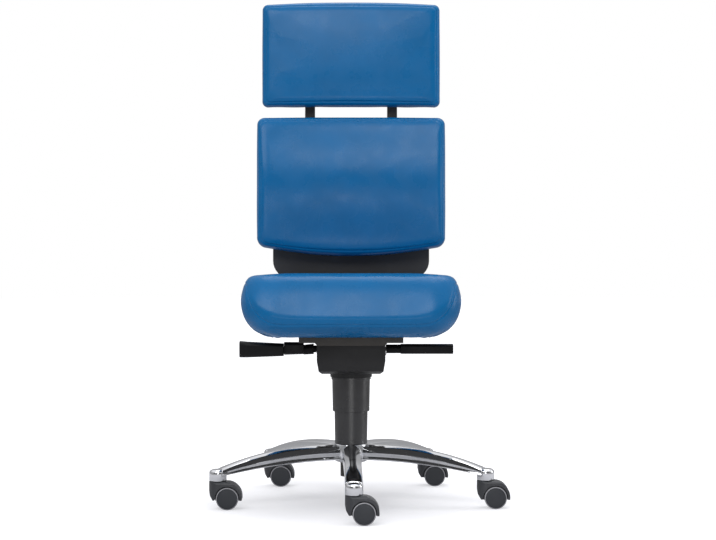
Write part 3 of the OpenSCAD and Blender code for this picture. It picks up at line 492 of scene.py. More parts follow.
class NodeRecipe(Graph):
    """A Geometry Nodes tree with named inputs, built once and used by several pieces."""

    def __init__(self, name: str, **asks: str) -> None:
        """Starts a tree.

        Args:
            name: the tree's name.
            asks: the kind of each named input, with underscores for spaces.
        """
        super().__init__(bpy.data.node_groups.new(name, "GeometryNodeTree"))
        self.sockets: dict[str, bpy.types.NodeTreeInterfaceSocket] = {}
        self.ask("Geometry", "Geometry")
        self.ask("Geometry", "Geometry", "OUTPUT")
        for ask, kind in {**asks, "Material": "Material"}.items():
            self.ask(ask, kind)
        self.start = self.node("NodeGroupInput")
        self.end = self.node("NodeGroupOutput")

    def ask(self, name: str, kind: str, way: str = "INPUT") -> None:
        """Adds a named socket of a kind to the tree's face."""
        self.sockets[name] = self.tree.interface.new_socket(
            name.replace("_", " "), in_out=way, socket_type="NodeSocket" + kind
        )

    def close(self, instances: Socket) -> None:
        """Ends the tree in Realize Instances and Set Material."""
        real = self.node("GeometryNodeRealizeInstances")
        paint = self.node("GeometryNodeSetMaterial")
        self.link(
            (instances, real.inputs["Geometry"]),
            (real.outputs["Geometry"], paint.inputs["Geometry"]),
            (self.start.outputs["Material"], paint.inputs["Material"]),
            (paint.outputs["Geometry"], self.end.inputs["Geometry"]),
        )

    def use(self, piece: bpy.types.Object, finish: Finish, **values: object) -> bpy.types.Object:
        """Runs the tree on a piece and bakes the result.

        Args:
            piece: the piece whose geometry goes in.
            finish: the finish of the result.
            values: values of the named inputs, with underscores for spaces.

        Returns:
            The baked piece.
        """
        step = piece.modifiers.new(self.tree.name, "NODES")
        step.node_group = self.tree
        for name, value in {"Material": finish.material(), **values}.items():
            step[self.sockets[name].identifier] = value
        made = baked(piece)
        made.data.materials.clear()
        made.data.materials.append(finish.material())
        return made


def round_recipe() -> NodeRecipe:
    """Returns the tree that repeats a shape round the Z axis."""
    recipe = NodeRecipe("repeat_round", Count="Int", Turn="Float")
    asked = recipe.start.outputs
    points = recipe.node("GeometryNodePoints")
    index = recipe.node("GeometryNodeInputIndex")
    angle = recipe.node("ShaderNodeMath", "MULTIPLY")
    spin = recipe.node("ShaderNodeCombineXYZ")
    place = recipe.node("GeometryNodeInstanceOnPoints")
    recipe.link(
        (asked["Count"], points.inputs["Count"]),
        (index.outputs["Index"], angle.inputs[0]),
        (asked["Turn"], angle.inputs[1]),
        (angle.outputs["Value"], spin.inputs["Z"]),
        (points.outputs["Points"], place.inputs["Points"]),
        (asked["Geometry"], place.inputs["Instance"]),
        (spin.outputs["Vector"], place.inputs["Rotation"]),
    )
    recipe.close(place.outputs["Instances"])
    return recipe


def stitch_recipe() -> NodeRecipe:
    """Returns the tree that sews stitches along a curve."""
    recipe = NodeRecipe("stitches", Spacing="Float", Thread_Radius="Float", Stitch_Length="Float")
    asked = recipe.start.outputs
    points = recipe.node("GeometryNodeCurveToPoints")
    points.mode = "LENGTH"
    ball = recipe.node("GeometryNodeMeshUVSphere", Segments=6, Rings=4, Radius=1.0)
    size = recipe.node("ShaderNodeCombineXYZ")
    place = recipe.node("GeometryNodeInstanceOnPoints")
    recipe.link(
        (asked["Geometry"], points.inputs["Curve"]),
        (asked["Spacing"], points.inputs["Length"]),
        (asked["Thread Radius"], size.inputs["X"]),
        (asked["Thread Radius"], size.inputs["Y"]),
        (asked["Stitch Length"], size.inputs["Z"]),
        (points.outputs["Points"], place.inputs["Points"]),
        (points.outputs["Rotation"], place.inputs["Rotation"]),
        (ball.outputs["Mesh"], place.inputs["Instance"]),
        (size.outputs["Vector"], place.inputs["Scale"]),
    )
    recipe.close(place.outputs["Instances"])
    return recipe


# Rigid pieces


@dataclass
class EdgedCopies:
    """Rigid CAD pieces whose edges get the small radii of moulded and pressed parts."""

    segments: int = 3
    bend: float = math.radians(34)
    crisp: float = math.radians(28)
    merge: float = 2e-5
    flat: float = math.radians(0.6)
    parts: dict[str, tuple[str, str, float]] = field(default_factory=dict)

    def build(self) -> None:
        """Builds every piece of the table: node to body, slot and edge radius."""
        for node, (body, slot, width) in self.parts.items():
            finish = NODE_FINISHES.get(node, SLOT_FINISHES[slot])
            dress(self.copy(node, width), finish, body, [node])

    def copy(self, node: str, width: float) -> bpy.types.Object:
        """Copies a CAD node and rounds its edges.

        Args:
            node: the CAD node.
            width: the width of the rounding.

        Returns:
            The piece, without a material.
        """
        mesh = frame["nodes"][node].data.copy()
        mesh.materials.clear()
        work = bmesh.new()
        work.from_mesh(mesh)
        bmesh.ops.remove_doubles(work, verts=work.verts, dist=self.merge)
        bmesh.ops.dissolve_limit(work, angle_limit=self.flat, verts=work.verts, edges=work.edges)
        work.to_mesh(mesh)
        work.free()
        made = linked(node + "_body", mesh)
        edges = made.modifiers.new("edges", "BEVEL")
        edges.width = width
        edges.segments = self.segments
        edges.limit_method = "ANGLE"
        edges.angle_limit = self.bend
        made = baked(made)
        made.data.shade_smooth()
        made.data.set_sharp_from_angle(angle=self.crisp)
        return made


@dataclass
class StarBase:
    """Five-armed polished base: hub, ridged arms with hollow undersides, tip bosses."""

    hub_top: float = 0.135
    hub_bottom: float = 0.093
    hub_radius: float = 0.040
    boss_bottom: float = 0.0633
    boss_top: float = 0.089
    boss_radius: float = 0.0195
    bore_radius: float = 0.0059
    bore_top: float = 0.0860
    root_half: float = 0.0225
    waist_half: float = 0.0195
    ridge_top: float = 0.134
    ridge_curve: float = 2.4
    keel_top: float = 0.099
    keel_drop: float = 0.025
    keel_start: float = 0.060
    keel_curve: float = 1.9
    wall: float = 0.004
    webs: Sequence[float] = (0.060, 0.130, 0.205, ARM_REACH - 0.030)
    web_half: float = 0.002
    arm_start: float = 0.033
    arm_end: float = ARM_REACH - 0.006
    steps: int = 44

    def fall(self, r: float, start: float) -> float:
        """Returns how far out a radius is, from 0 where a line's fall starts to 1 at the tip."""
        return max(0.0, r - start) / (ARM_REACH - start)

    def crest(self, r: float) -> float:
        """Returns the height of an arm's ridge at a radius."""
        share = self.fall(r, self.hub_radius) ** self.ridge_curve
        return self.ridge_top - (self.ridge_top - self.boss_top) * share

    def keel(self, r: float) -> float:
        """Returns the height of an arm's lower edge at a radius."""
        return self.keel_top - self.keel_drop * self.fall(r, self.keel_start) ** self.keel_curve

    def half(self, r: float) -> float:
        """Returns an arm's half width at a radius."""
        share = math.sin(math.pi / 2 * min(1.0, r / (ARM_REACH - 0.035)))
        return self.root_half + (self.waist_half - self.root_half) * share

    def section(self, r: float) -> Ring:
        """Returns the section of an arm: ridge, bevels, sides and hollow.

        Args:
            r: the radius of the section.

        Returns:
            The section's ring.
        """
        w, top, low = self.half(r), self.crest(r), self.keel(r)
        h = top - low
        outer = [
            (0.80, 0.0), (0.92, 0.008), (0.97, 0.035), (0.98, 0.07), (0.965, 0.12), (0.905, 0.24),
            (0.90, 0.27), (0.915, 0.31), (0.985, 0.43), (1.0, 0.465), (0.992, 0.51), (0.915, 0.81),
            (0.895, 0.85), (0.85, 0.88), (0.42, 0.98), (0.32, 0.998), (0.10, 1.003),
        ]
        hollow = [(-0.66, 0.0), (-0.9, 0.36), (-0.72, 0.60), (0.72, 0.60), (0.9, 0.36), (0.66, 0.0)]
        ring = [Vector((r, x * w, low + z * h)) for x, z in outer]
        ring += [Vector((r, -x * w, low + z * h)) for x, z in reversed(outer)]
        return ring + [Vector((r, x * (w - self.wall), low + z * h)) for x, z in hollow]

    def arm(self) -> bpy.types.Object:
        """Returns one arm along X with its webs and its tip boss."""
        places = np.linspace(self.arm_start, self.arm_end, self.steps + 1)
        verts, faces = loft_data([self.section(float(r)) for r in places])
        for r in self.webs:
            w, low, high = self.half(r) - self.wall - 0.0005, self.keel(r), self.crest(r)
            box = [
                [Vector((x, -0.82 * w, z)), Vector((x, 0.82 * w, z))]
                for x in (r - self.web_half, r + self.web_half)
                for z in (low + 0.002, low + 0.66 * (high - low))
            ]
            (a, b), (c, d), (e, f), (g, h) = box
            start = len(verts)
            verts += [a, b, d, c, e, f, h, g]
            faces += [[start + i for i in side] for side in BOX_SIDES]
        radius, low, high = self.boss_radius, self.boss_bottom, self.boss_top
        boss = [(0.0, high + 0.0004)]
        for k in range(1, 9):
            t = math.pi / 2 * k / 8
            inward, down = 0.010 * (1 - math.sin(t)), 0.008 * (1 - math.cos(t))
            boss.append((radius - inward, high + 0.0002 - down))
        boss += [
            (radius, low + 0.002), (radius - 0.0006, low + 0.0006), (radius - 0.002, low),
            (self.bore_radius, low), (self.bore_radius, self.bore_top), (0.0, self.bore_top),
        ]
        start = len(verts)
        points, sides = lathe_data(boss, 64)
        verts += [p + Vector((ARM_REACH, 0, 0)) for p in points]
        faces += [[start + i for i in f] for f in sides]
        return finish_mesh("star_base_arms", verts, faces, 24)

    def build(self, repeat: NodeRecipe) -> None:
        """Builds the arms and the hub.

        Args:
            repeat: the tree that repeats a shape round the column.
        """
        arms = repeat.use(self.arm(), ALUMINIUM, Count=ARMS, Turn=2 * math.pi / ARMS)
        arms.data.transform(Matrix.Rotation(-math.pi / 2 + BASE_TURN, 4, "Z"))
        arms.data.set_sharp_from_angle(angle=math.radians(24))
        dress(arms, ALUMINIUM, "base", ["base_star"])
        r, low, high = self.hub_radius, self.hub_bottom, self.hub_top
        foot = [
            (r - 0.010 + 0.010 * math.sin(t), low + 0.010 - 0.010 * math.cos(t))
            for t in np.linspace(0, math.pi / 2, 9)
        ]
        brim = [
            (r - 0.003 + 0.003 * math.cos(t), high - 0.003 + 0.003 * math.sin(t))
            for t in np.linspace(0, math.pi / 2, 7)
        ]
        profile = [(0.0252, low), *foot, *brim, (0.0262, high), (0.0252, high - 0.001)]
        verts, faces = lathe_data(profile, 96)
        hub = finish_mesh("star_base_hub", verts, faces, 26)
        dress(hub, ALUMINIUM, "base")


@dataclass
class Casters:
    """Five twin-wheel casters: hoods with rounded edges and wheels with a soft tread."""

    wheel_radius: float = 0.025
    wheel_width: float = 0.019
    tread: float = 0.0022
    trail: float = 0.0215
    web_half: float = 0.0035
    gap: float = 0.0005
    axle_radius: float = 0.00305
    hood_edge: float = 0.0011

    def wheel_profile(self) -> Profile:
        """Returns the wheel's line of radius and depth, from its blind bore round to its face."""
        outer, w = self.wheel_radius, self.wheel_width
        rim = outer - self.tread
        return [
            (0.0, w - 0.0040), (self.axle_radius, w - 0.0040), (self.axle_radius, 0.0002),
            (0.009, 0.0002), (0.009, 0.003), (rim - 0.003, 0.003), (rim - 0.0026, 0.0006),
            (rim, 0.0006), (outer - 0.0010, 0.0006), (outer - 0.0002, 0.0012), (outer, 0.0022),
            (outer, w - 0.0016), (outer - 0.0002, w - 0.0009), (outer - 0.0006, w - 0.0003),
            (outer - 0.0011, w - 0.0001), (rim + 0.0001, w - 0.0001), (rim - 0.0001, w - 0.0007),
            (rim - 0.0006, w - 0.0008), (rim - 0.0016, w - 0.0005), (rim - 0.0060, w - 0.0003),
            (0.0100, w - 0.0001), (0.0, w),
        ]

    def wheel(self, index: int, side: Side) -> bpy.types.Object:
        """Builds one wheel in its place.

        Args:
            index: the caster's number.
            side: the side on which it runs.

        Returns:
            The wheel.
        """
        verts, faces = lathe_data(self.wheel_profile(), 72)
        piece = finish_mesh(f"wheel_{side.name.lower()}_{index}_body", verts, faces, 30)
        piece.data.materials.append(RIM.material())
        piece.data.materials.append(TREAD.material())
        inner = self.wheel_radius - self.tread - 1e-5
        for face in piece.data.polygons:
            points = [piece.data.vertices[i].co for i in face.vertices]
            if all(math.hypot(p.x, p.y) >= inner for p in points):
                face.material_index = 1
        turn = Matrix.Rotation(-side.value * math.pi / 2, 4, "X")
        off = Vector((self.trail, side.value * (self.web_half + self.gap), self.wheel_radius))
        piece.data.transform(Matrix.Translation(caster_place(index) + off) @ turn)
        return piece

    def build(self) -> None:
        """Builds every hood and wheel."""
        for index in range(1, ARMS + 1):
            node = f"caster_hood_{index}"
            hood = EdgedCopies().copy(node, self.hood_edge)
            dress(hood, CASTER, f"caster_{index}", [node])
            for side in Side:
                name = f"wheel_{side.name.lower()}_{index}"
                dress(self.wheel(index, side), RIM, name, [name])


@dataclass
class Sleeves:
    """Telescoping sleeves of the column, with rolled lips."""

    wall: float = 0.0014
    draft: float = 0.014
    flange: float = 0.0018
    brim: float = 0.0058
    lip: float = 0.0006
    cylinder: float = 0.0141
    lid: float = 0.003

    def tube(
        self, name: str, radius: float, low: float, high: float, closed: bool
    ) -> bpy.types.Object:
        """Builds one sleeve.

        Args:
            name: the piece's name.
            radius: its outer radius.
            low: its lower edge.
            high: its upper edge.
            closed: whether its top is closed down to the gas cylinder.

        Returns:
            The sleeve.
        """
        lip = self.lip
        foot = radius - self.draft * (high - low)
        inner = foot - self.wall
        groove = ((0.0, 0.0085), (0.0003, 0.0090), (0.0003, 0.0098), (0.0, 0.0103), (0.0, 0.0112))
        profile = [(inner + lip, low), (foot - lip, low), (foot, low + lip)]
        profile += [(foot - depth, low + rise) for depth, rise in groove]
        if closed:
            brim, under, ceiling = radius + self.flange, high - self.brim, high - self.lid
            profile += [
                (radius, under - 0.0012), (radius, under), (brim - lip, under), (brim, under + lip),
                (brim, high - lip), (brim - lip, high), (self.cylinder, high),
                (self.cylinder, ceiling), (inner, ceiling),
            ]
        else:
            profile += [
                (radius, high - 0.0020), (radius, high - lip), (radius - lip, high),
                (inner + lip, high), (inner, high - lip),
            ]
        profile.append((inner, low + lip))
        verts, faces = lathe_data(profile, 96)
        return finish_mesh(name, verts, faces, 30)

    def build(self) -> None:
        """Builds the three sleeves."""
        rows = (
            ("sleeve_upper", 0.0432, 0.209, 0.287, True, "chassis"),
            ("sleeve_middle", 0.0401, 0.2095, 0.243, False, "column_middle"),
            ("sleeve_lower", 0.0381, 0.135, 0.222, False, "base"),
        )
        for node, radius, low, high, closed, body in rows:
            piece = self.tube(node + "_body", radius, low, high, closed)
            dress(piece, COLUMN, body, [node])


@dataclass
class LeverPair:
    """The two levers on the viewer's left, with grips that widen to a slanted end face."""

    axis: tuple[float, float] = (-0.035, 0.353)
    bore: float = 0.0062
    end_turn: float = -0.235
    end_depth: float = 0.010
    edge: float = 0.0016
    height_grip: Sequence[Sequence[float]] = ((-0.252, 0.3344, 0.3705), (-0.152, 0.3382, 0.3655))
    tilt_grip: Sequence[Sequence[float]] = ((-0.151, 0.3385, 0.3688), (-0.107, 0.3400, 0.3686))

    def shape(self, piece: bpy.types.Object, grip: Sequence[Sequence[float]]) -> None:
        """Gives a lever's grip its taper, and leaves the bore and the shaft alone.

        Args:
            piece: the lever.
            grip: the grip's outer and inner end, each as place, lower and upper edge.
        """
        work = bmesh.new()
        work.from_mesh(piece.data)
        whole = [*work.verts, *work.edges, *work.faces]
        bmesh.ops.bisect_plane(work, geom=whole, plane_co=(self.end_turn, 0, 0), plane_no=(1, 0, 0))
        (outer, outer_low, outer_high), (inner, inner_low, inner_high) = grip
        on_grip = [v for v in work.verts if v.co.x < inner + 0.0006]
        low, high = min(v.co.z for v in on_grip), max(v.co.z for v in on_grip)
        for v in on_grip:
            along = (v.co.x - outer) / (inner - outer)
            new_low = outer_low + (inner_low - outer_low) * along
            new_high = outer_high + (inner_high - outer_high) * along
            target = new_low + (new_high - new_low) * (v.co.z - low) / (high - low)
            off = math.hypot(v.co.y - self.axis[0], v.co.z - self.axis[1])
            v.co.z += (target - v.co.z) * min(1.0, max(0.0, (off - self.bore) / 0.003))
            if v.co.x < self.end_turn and v.co.y < self.axis[0]:
                v.co.y += self.end_depth * (self.end_turn - v.co.x) / (self.end_turn - outer)
        work.to_mesh(piece.data)
        work.free()
        piece.data.set_sharp_from_angle(angle=math.radians(28))

    def build(self) -> None:
        """Builds both levers."""
        for node, grip in (("height_lever", self.height_grip), ("tilt_lever", self.tilt_grip)):
            piece = EdgedCopies().copy(node, self.edge)
            self.shape(piece, grip)
            dress(piece, BLACK, node, [node])


# Padded pieces


@dataclass
class Pad:
    """A leather-covered foam pad, woven of columns that run from its carrier to its crown.

    Every column crosses the seam on the same row, so the seam stays crisp while the
    cover swells on both sides of it.
    """

    name: str
    node: str
    body: str
    below: int = 16
    above: int = 18
    shrink: float = 0.0030
    cap: float = 0.0012
    pressure: float = 4.0
    even_passes: int = 26
    seam_depth: float = 0.0015
    seam_width: float = 0.0021
    pucker_depth: float = 0.00016
    pucker_reach: float = 0.007
    stitch_offset: float = 0.0046
    fill: float = 0.9
    stiffness: float = 18
    frames: int = 20
    calm_rows: int = 8

    def rings(self) -> list[Ring]:
        """Returns the rings of the pad's form, from its carrier to its crown."""
        raise NotImplementedError

    def held(self, point: Vector) -> bool:
        """Says whether a point lies against what carries the pad."""
        raise NotImplementedError

    def seam_rings(self, rings: np.ndarray) -> np.ndarray:
        """Returns the fractional ring at which each column crosses the seam."""
        raise NotImplementedError

    def grid(self) -> np.ndarray:
        """Returns the form as rows and columns of points, with the seam on one row."""
        rings = np.array([[tuple(p) for p in ring] for ring in self.rings()])
        order = np.arange(len(rings))
        columns = []
        for column, seam in zip(rings.swapaxes(0, 1), self.seam_rings(rings)):
            length = self.lengths(column[:, None])[:, 0]
            middle = np.interp(seam, order, length)
            lower = np.linspace(0, middle, self.below + 1)
            upper = np.linspace(middle, length[-1], self.above + 1)[1:]
            marks = np.concatenate([lower, upper])
            columns.append(cubic(column, np.interp(marks, length, order)))
        return np.stack(columns, axis=1)

    def lengths(self, points: np.ndarray) -> np.ndarray:
        """Returns the length along every column from its first row.

        Args:
            points: rows and columns of points.

        Returns:
            Rows and columns of lengths.
        """
        steps = np.linalg.norm(np.diff(points, axis=0), axis=2)
        return np.concatenate([np.zeros((1, points.shape[1])), np.cumsum(steps, axis=0)])

    def woven(self, points: np.ndarray) -> bpy.types.Object:
        """Returns a closed object over rows and columns of points."""
        verts, faces = loft_data([[Vector(p) for p in row] for row in points])
        return finish_mesh(self.name, verts, faces, 180, 1e-9)

    def attribute(self, piece: bpy.types.Object, name: str, shape: tuple[int, ...]) -> np.ndarray:
        """Reads the points or normals of a woven object's rows and columns.

        Args:
            piece: the woven object.
            name: "co" or "normal".
            shape: the shape of the rows and columns.

        Returns:
            The values in that shape.
        """
        values = np.empty(len(piece.data.vertices) * 3)
        piece.data.vertices.foreach_get(name, values)
        return values.reshape(-1, 3)[: shape[0] * shape[1]].reshape(shape)

    def inflate(self, points: np.ndarray) -> np.ndarray:
        """Lets the cover swell under pressure between its seam and its carrier.

        Args:
            points: rows and columns of the pad at rest.

        Returns:
            The swollen rows and columns.
        """
        piece = self.woven(points)
        shape = points.shape
        held = np.array([[self.held(Vector(p)) for p in row] for row in points])
        start = points - self.attribute(piece, "normal", shape) * self.shrink * ~held[..., None]
        pinned = piece.vertex_groups.new(name="held")
        rows = np.abs(np.arange(shape[0]) - self.below)
        near_seam = np.where(rows == 0, 1.0, np.where(rows == 1, 0.15, 0.0))
        weights = np.where(held, 1.0, near_seam[:, None])
        for index, (point, weight) in enumerate(zip(start.reshape(-1, 3), weights.ravel())):
            piece.data.vertices[index].co = point
            if weight > 0:
                pinned.add([index], float(weight), "REPLACE")
        cloth = piece.modifiers.new("cover", "CLOTH")
        cover = cloth.settings
        cover.use_pressure = True
        cover.uniform_pressure_force = self.pressure
        cover.effector_weights.gravity = 0
        cover.vertex_group_mass = "held"
        cover.quality = 5
        cover.tension_stiffness = cover.compression_stiffness = self.stiffness
        cover.bending_stiffness = 1.5
        cloth.point_cache.frame_start = 1
        cloth.point_cache.frame_end = self.frames
        for number in range(1, self.frames + 1):
            bpy.context.scene.frame_set(number)
        piece = baked(piece)
        bpy.context.scene.frame_set(1)
        moved = self.attribute(piece, "co", shape) - start
        length = np.linalg.norm(moved, axis=2, keepdims=True)
        moved *= np.minimum(1.0, (self.cap + self.shrink) / np.maximum(length, 1e-9))
        log.info("%s: swelled by %.1f mm on average", self.name, 1000 * float(length.mean()))
        discard(piece)
        return points + self.evened(start + moved - points)

    def evened(self, shift: np.ndarray) -> np.ndarray:
        """Evens out creases in the cover's movement, as a stretched cover over foam does.

        Args:
            shift: the movement of every point.

        Returns:
            The movement without short waves, and the same all round in the last rows.
        """
        for _ in range(self.even_passes):
            aside = np.roll(shift, 1, axis=1) + np.roll(shift, -1, axis=1)
            shift = 0.5 * shift + 0.25 * aside
            ends = np.concatenate([shift[:1], shift, shift[-1:]])
            shift = 0.5 * shift + 0.25 * (ends[:-2] + ends[2:])
        rows = np.arange(1, len(shift) + 1)
        near = np.clip((rows - len(shift) + self.calm_rows) / self.calm_rows, 0, 1)
        return shift + (shift.mean(axis=1, keepdims=True) - shift) * near[:, None, None]

    def refine(self, points: np.ndarray) -> tuple[np.ndarray, int]:
        """Weaves the pad finer, with close rows beside the seam.

        Args:
            points: the coarse rows and columns.

        Returns:
            The fine rows and columns, and the seam's row.
        """
        near = np.array([0.0, 0.10, 0.20, 0.31, 0.44, 0.60, 0.79])
        lower = np.concatenate([np.arange(0, self.below - 0.99, 0.5), self.below - near[::-1]])
        upper = np.concatenate([near[1:], np.arange(1, self.above + 0.01, 0.5)])
        halves = cubic(points[: self.below + 1], lower), cubic(points[self.below :], upper)
        rows = np.concatenate(halves)
        wrapped = np.concatenate([rows[:, -2:], rows, rows[:, :3]], axis=1).swapaxes(0, 1)
        fine = cubic(wrapped, 2 + np.arange(0, points.shape[1], 0.5)).swapaxes(0, 1)
        return fine, len(lower) - 1

    def carve(self, points: np.ndarray, seam: int) -> np.ndarray:
        """Draws the seam into the cover, with a soft roll and faint puckers beside it.

        Args:
            points: the fine rows and columns.
            seam: the seam's row.

        Returns:
            The carved rows and columns.
        """
        piece = self.woven(points)
        normals = self.attribute(piece, "normal", points.shape)
        discard(piece)
        length = self.lengths(points)
        away = np.abs(length - length[seam])
        along = np.cumsum(np.linalg.norm(points[seam] - np.roll(points[seam], 1, axis=0), axis=1))
        groove = np.exp(-((away / self.seam_width) ** 2))
        roll = np.exp(-(((away - 2.7 * self.seam_width) / (1.5 * self.seam_width)) ** 2))
        waves = np.sin(along * 360) * np.sin(along * 147 + 1.0)
        pucker = self.pucker_depth * waves * np.exp(-away / self.pucker_reach)
        depth = self.seam_depth * (groove - 0.25 * roll) + pucker * (1 - groove)
        return points - normals * depth[..., None]

    def sew(self, points: np.ndarray, seam: int, recipe: NodeRecipe) -> None:
        """Sews a row of stitches beside the seam.

        Args:
            points: the finished rows and columns.
            seam: the seam's row.
            recipe: the tree that sews along a curve.
        """
        length = self.lengths(points)
        data = bpy.data.curves.new(f"{self.name}_stitches", "CURVE")
        data.dimensions = "3D"
        spline = data.splines.new("POLY")
        spline.points.add(points.shape[1] - 1)
        for k, slot in enumerate(spline.points):
            mark = length[seam, k] + self.stitch_offset
            at = [float(np.interp(mark, length[:, k], points[:, k, axis])) for axis in range(3)]
            slot.co = (*at, 1)
        spline.use_cyclic_u = True
        line = linked(f"{self.name}_stitches", data)
        sewn = recipe.use(line, THREAD, Spacing=0.0042, Thread_Radius=0.00035, Stitch_Length=0.0015)
        dress(sewn, THREAD, self.body)

    def build(self, recipe: NodeRecipe) -> None:
        """Builds the pad and its stitches.

        Args:
            recipe: the tree that sews along a curve.
        """
        points = self.grid()
        points = self.inflate(points)
        points, seam = self.refine(points)
        points = self.carve(points, seam)
        piece = self.woven(points)
        dress(piece, BLUE, self.body, [self.node])
        self.sew(points, seam, recipe)


@dataclass
class SeatPad(Pad):
    """Seat pad: rounded in plan, rolled down at the front, top panel over the front edge."""

    half_width: float = 0.249
    half_depth: float = 0.235
    crest: float = 0.522
    widest: float = 0.478
    lowest: float = 0.385
    belly: float = 1.2
    corner: float = 0.075
    waterfall: float = 0.004
    rake: float = 0.010
    under: float = 0.4124
    recess: float = 0.0616
    lower_inset: float = 0.095
    edge_inset: float = 0.028
    edge_slant: float = 0.012
    panel: float = 0.085
    nose_drop: float = 0.044
    tail_drop: float = 0.005
    flat_front: float = 0.11
    front_turn: float = 0.13
    roll_start: float = 0.45
    taper: float = 0.035
    least_corner: float = 0.045
    seam_low: float = 0.419
    seam_high: float = 0.507
    seam_turns: Profile = ((-0.200, 0.060), (0.150, 0.080))
    steps: int = 14

    def level(
        self, inset: float, z: float, drop: float, back: float = 0.0, rake: float = 0.0
    ) -> Ring:
        """Returns one ring of the seat.

        Args:
            inset: how far it lies inside the outline.
            z: its height.
            drop: how far its front rolls down.
            back: how far its front leans back.
            rake: how far its front edge stands above its middle.

        Returns:
            The ring.
        """
        edge = min(inset, self.panel)
        share = (self.half_depth - inset) / (self.half_depth - edge)
        a, b = (self.half_width - edge) * share, (self.half_depth - edge) * share
        r = max(self.least_corner, self.corner - edge) * share
        start, reach = self.roll_start, 1 - self.roll_start
        ring = []
        for x, y in rounded_ring(a, b, r, 14, 20):
            deep = y / self.half_depth
            side = min(1.0, max(0.0, (abs(x) - self.flat_front) / self.front_turn)) ** 2
            roll = (max(0.0, -deep - start) / reach) ** 2 * (1 - side)
            lean = (max(0.0, -y / b - start) / reach) ** 2
            wide = x * (1 - self.taper * deep**2)
            ring.append(Vector((wide, y + back * lean, z - drop * roll - rake * deep)))
        return ring

    def rings(self) -> list[Ring]:
        """Returns the rings from the underside round to the crown."""
        start = math.asin(1 - (self.recess / self.lower_inset) ** (1 / self.belly))
        rings = [self.level(0.15, self.under, 0), self.level(self.recess, self.under, 0)]
        for k in range(self.steps + 1):
            t = start + (math.pi / 2 - start) * k / self.steps
            z = self.lowest + (self.widest - self.lowest) * (1 - math.cos(t))
            drop = self.tail_drop + (self.nose_drop - self.tail_drop) * (k / self.steps) ** 2
            rings.append(self.level(self.lower_inset * (1 - math.sin(t)) ** self.belly, z, drop))
        for k in range(1, self.steps + 1):
            rise = math.sin(math.pi / 2 * k / self.steps)
            z = self.widest + (self.crest - 0.003 - self.widest) * rise
            drop = self.nose_drop + (self.waterfall - self.nose_drop) * rise
            turn = 1 - math.sqrt(max(0.0, 1 - rise**4))
            inset = self.edge_slant * rise + (self.edge_inset - self.edge_slant) * turn
            back = 0.034 * rise + 0.018 * turn - inset
            rings.append(self.level(inset, z, drop, back, self.rake * rise))
        crown = (
            (0.045, -0.0016, 0.018), (0.060, -0.0008, 0.014), (0.085, -0.0002, 0.008),
            (0.110, 0.0, 0.003), (0.160, -0.001, 0.0), (0.225, -0.0015, 0.0),
        )
        for inset, z, back in crown:
            rings.append(self.level(inset, self.crest + z, self.waterfall, back, self.rake))
        return rings

    def held(self, point: Vector) -> bool:
        """Says whether a point lies on the seat shell."""
        return point.z < self.under + 0.002

    def seam_height(self, x: float, y: float) -> float:
        """Returns the seam's height: low in front, rising round the corners to the sides."""
        (rear, rear_reach), (edge, side_reach) = self.seam_turns
        behind = min(1.0, max(0.0, (y - rear) / rear_reach))
        aside = min(1.0, max(0.0, (abs(x) - edge) / side_reach))
        share = max(behind * behind * (3 - 2 * behind), 1 - math.sqrt(1 - aside * aside))
        return self.seam_low + (self.seam_high - self.seam_low) * share

    def seam_rings(self, rings: np.ndarray) -> np.ndarray:
        """Returns where each column rises through the height of the seam."""
        crossings = []
        for column in rings.swapaxes(0, 1):
            over = column[:, 2] - np.array([self.seam_height(x, y) for x, y in column[:, :2]])
            k = next(i for i in range(3, len(over)) if over[i - 1] < 0 <= over[i])
            crossings.append(k - over[k] / (over[k] - over[k - 1]))
        return np.array(crossings)


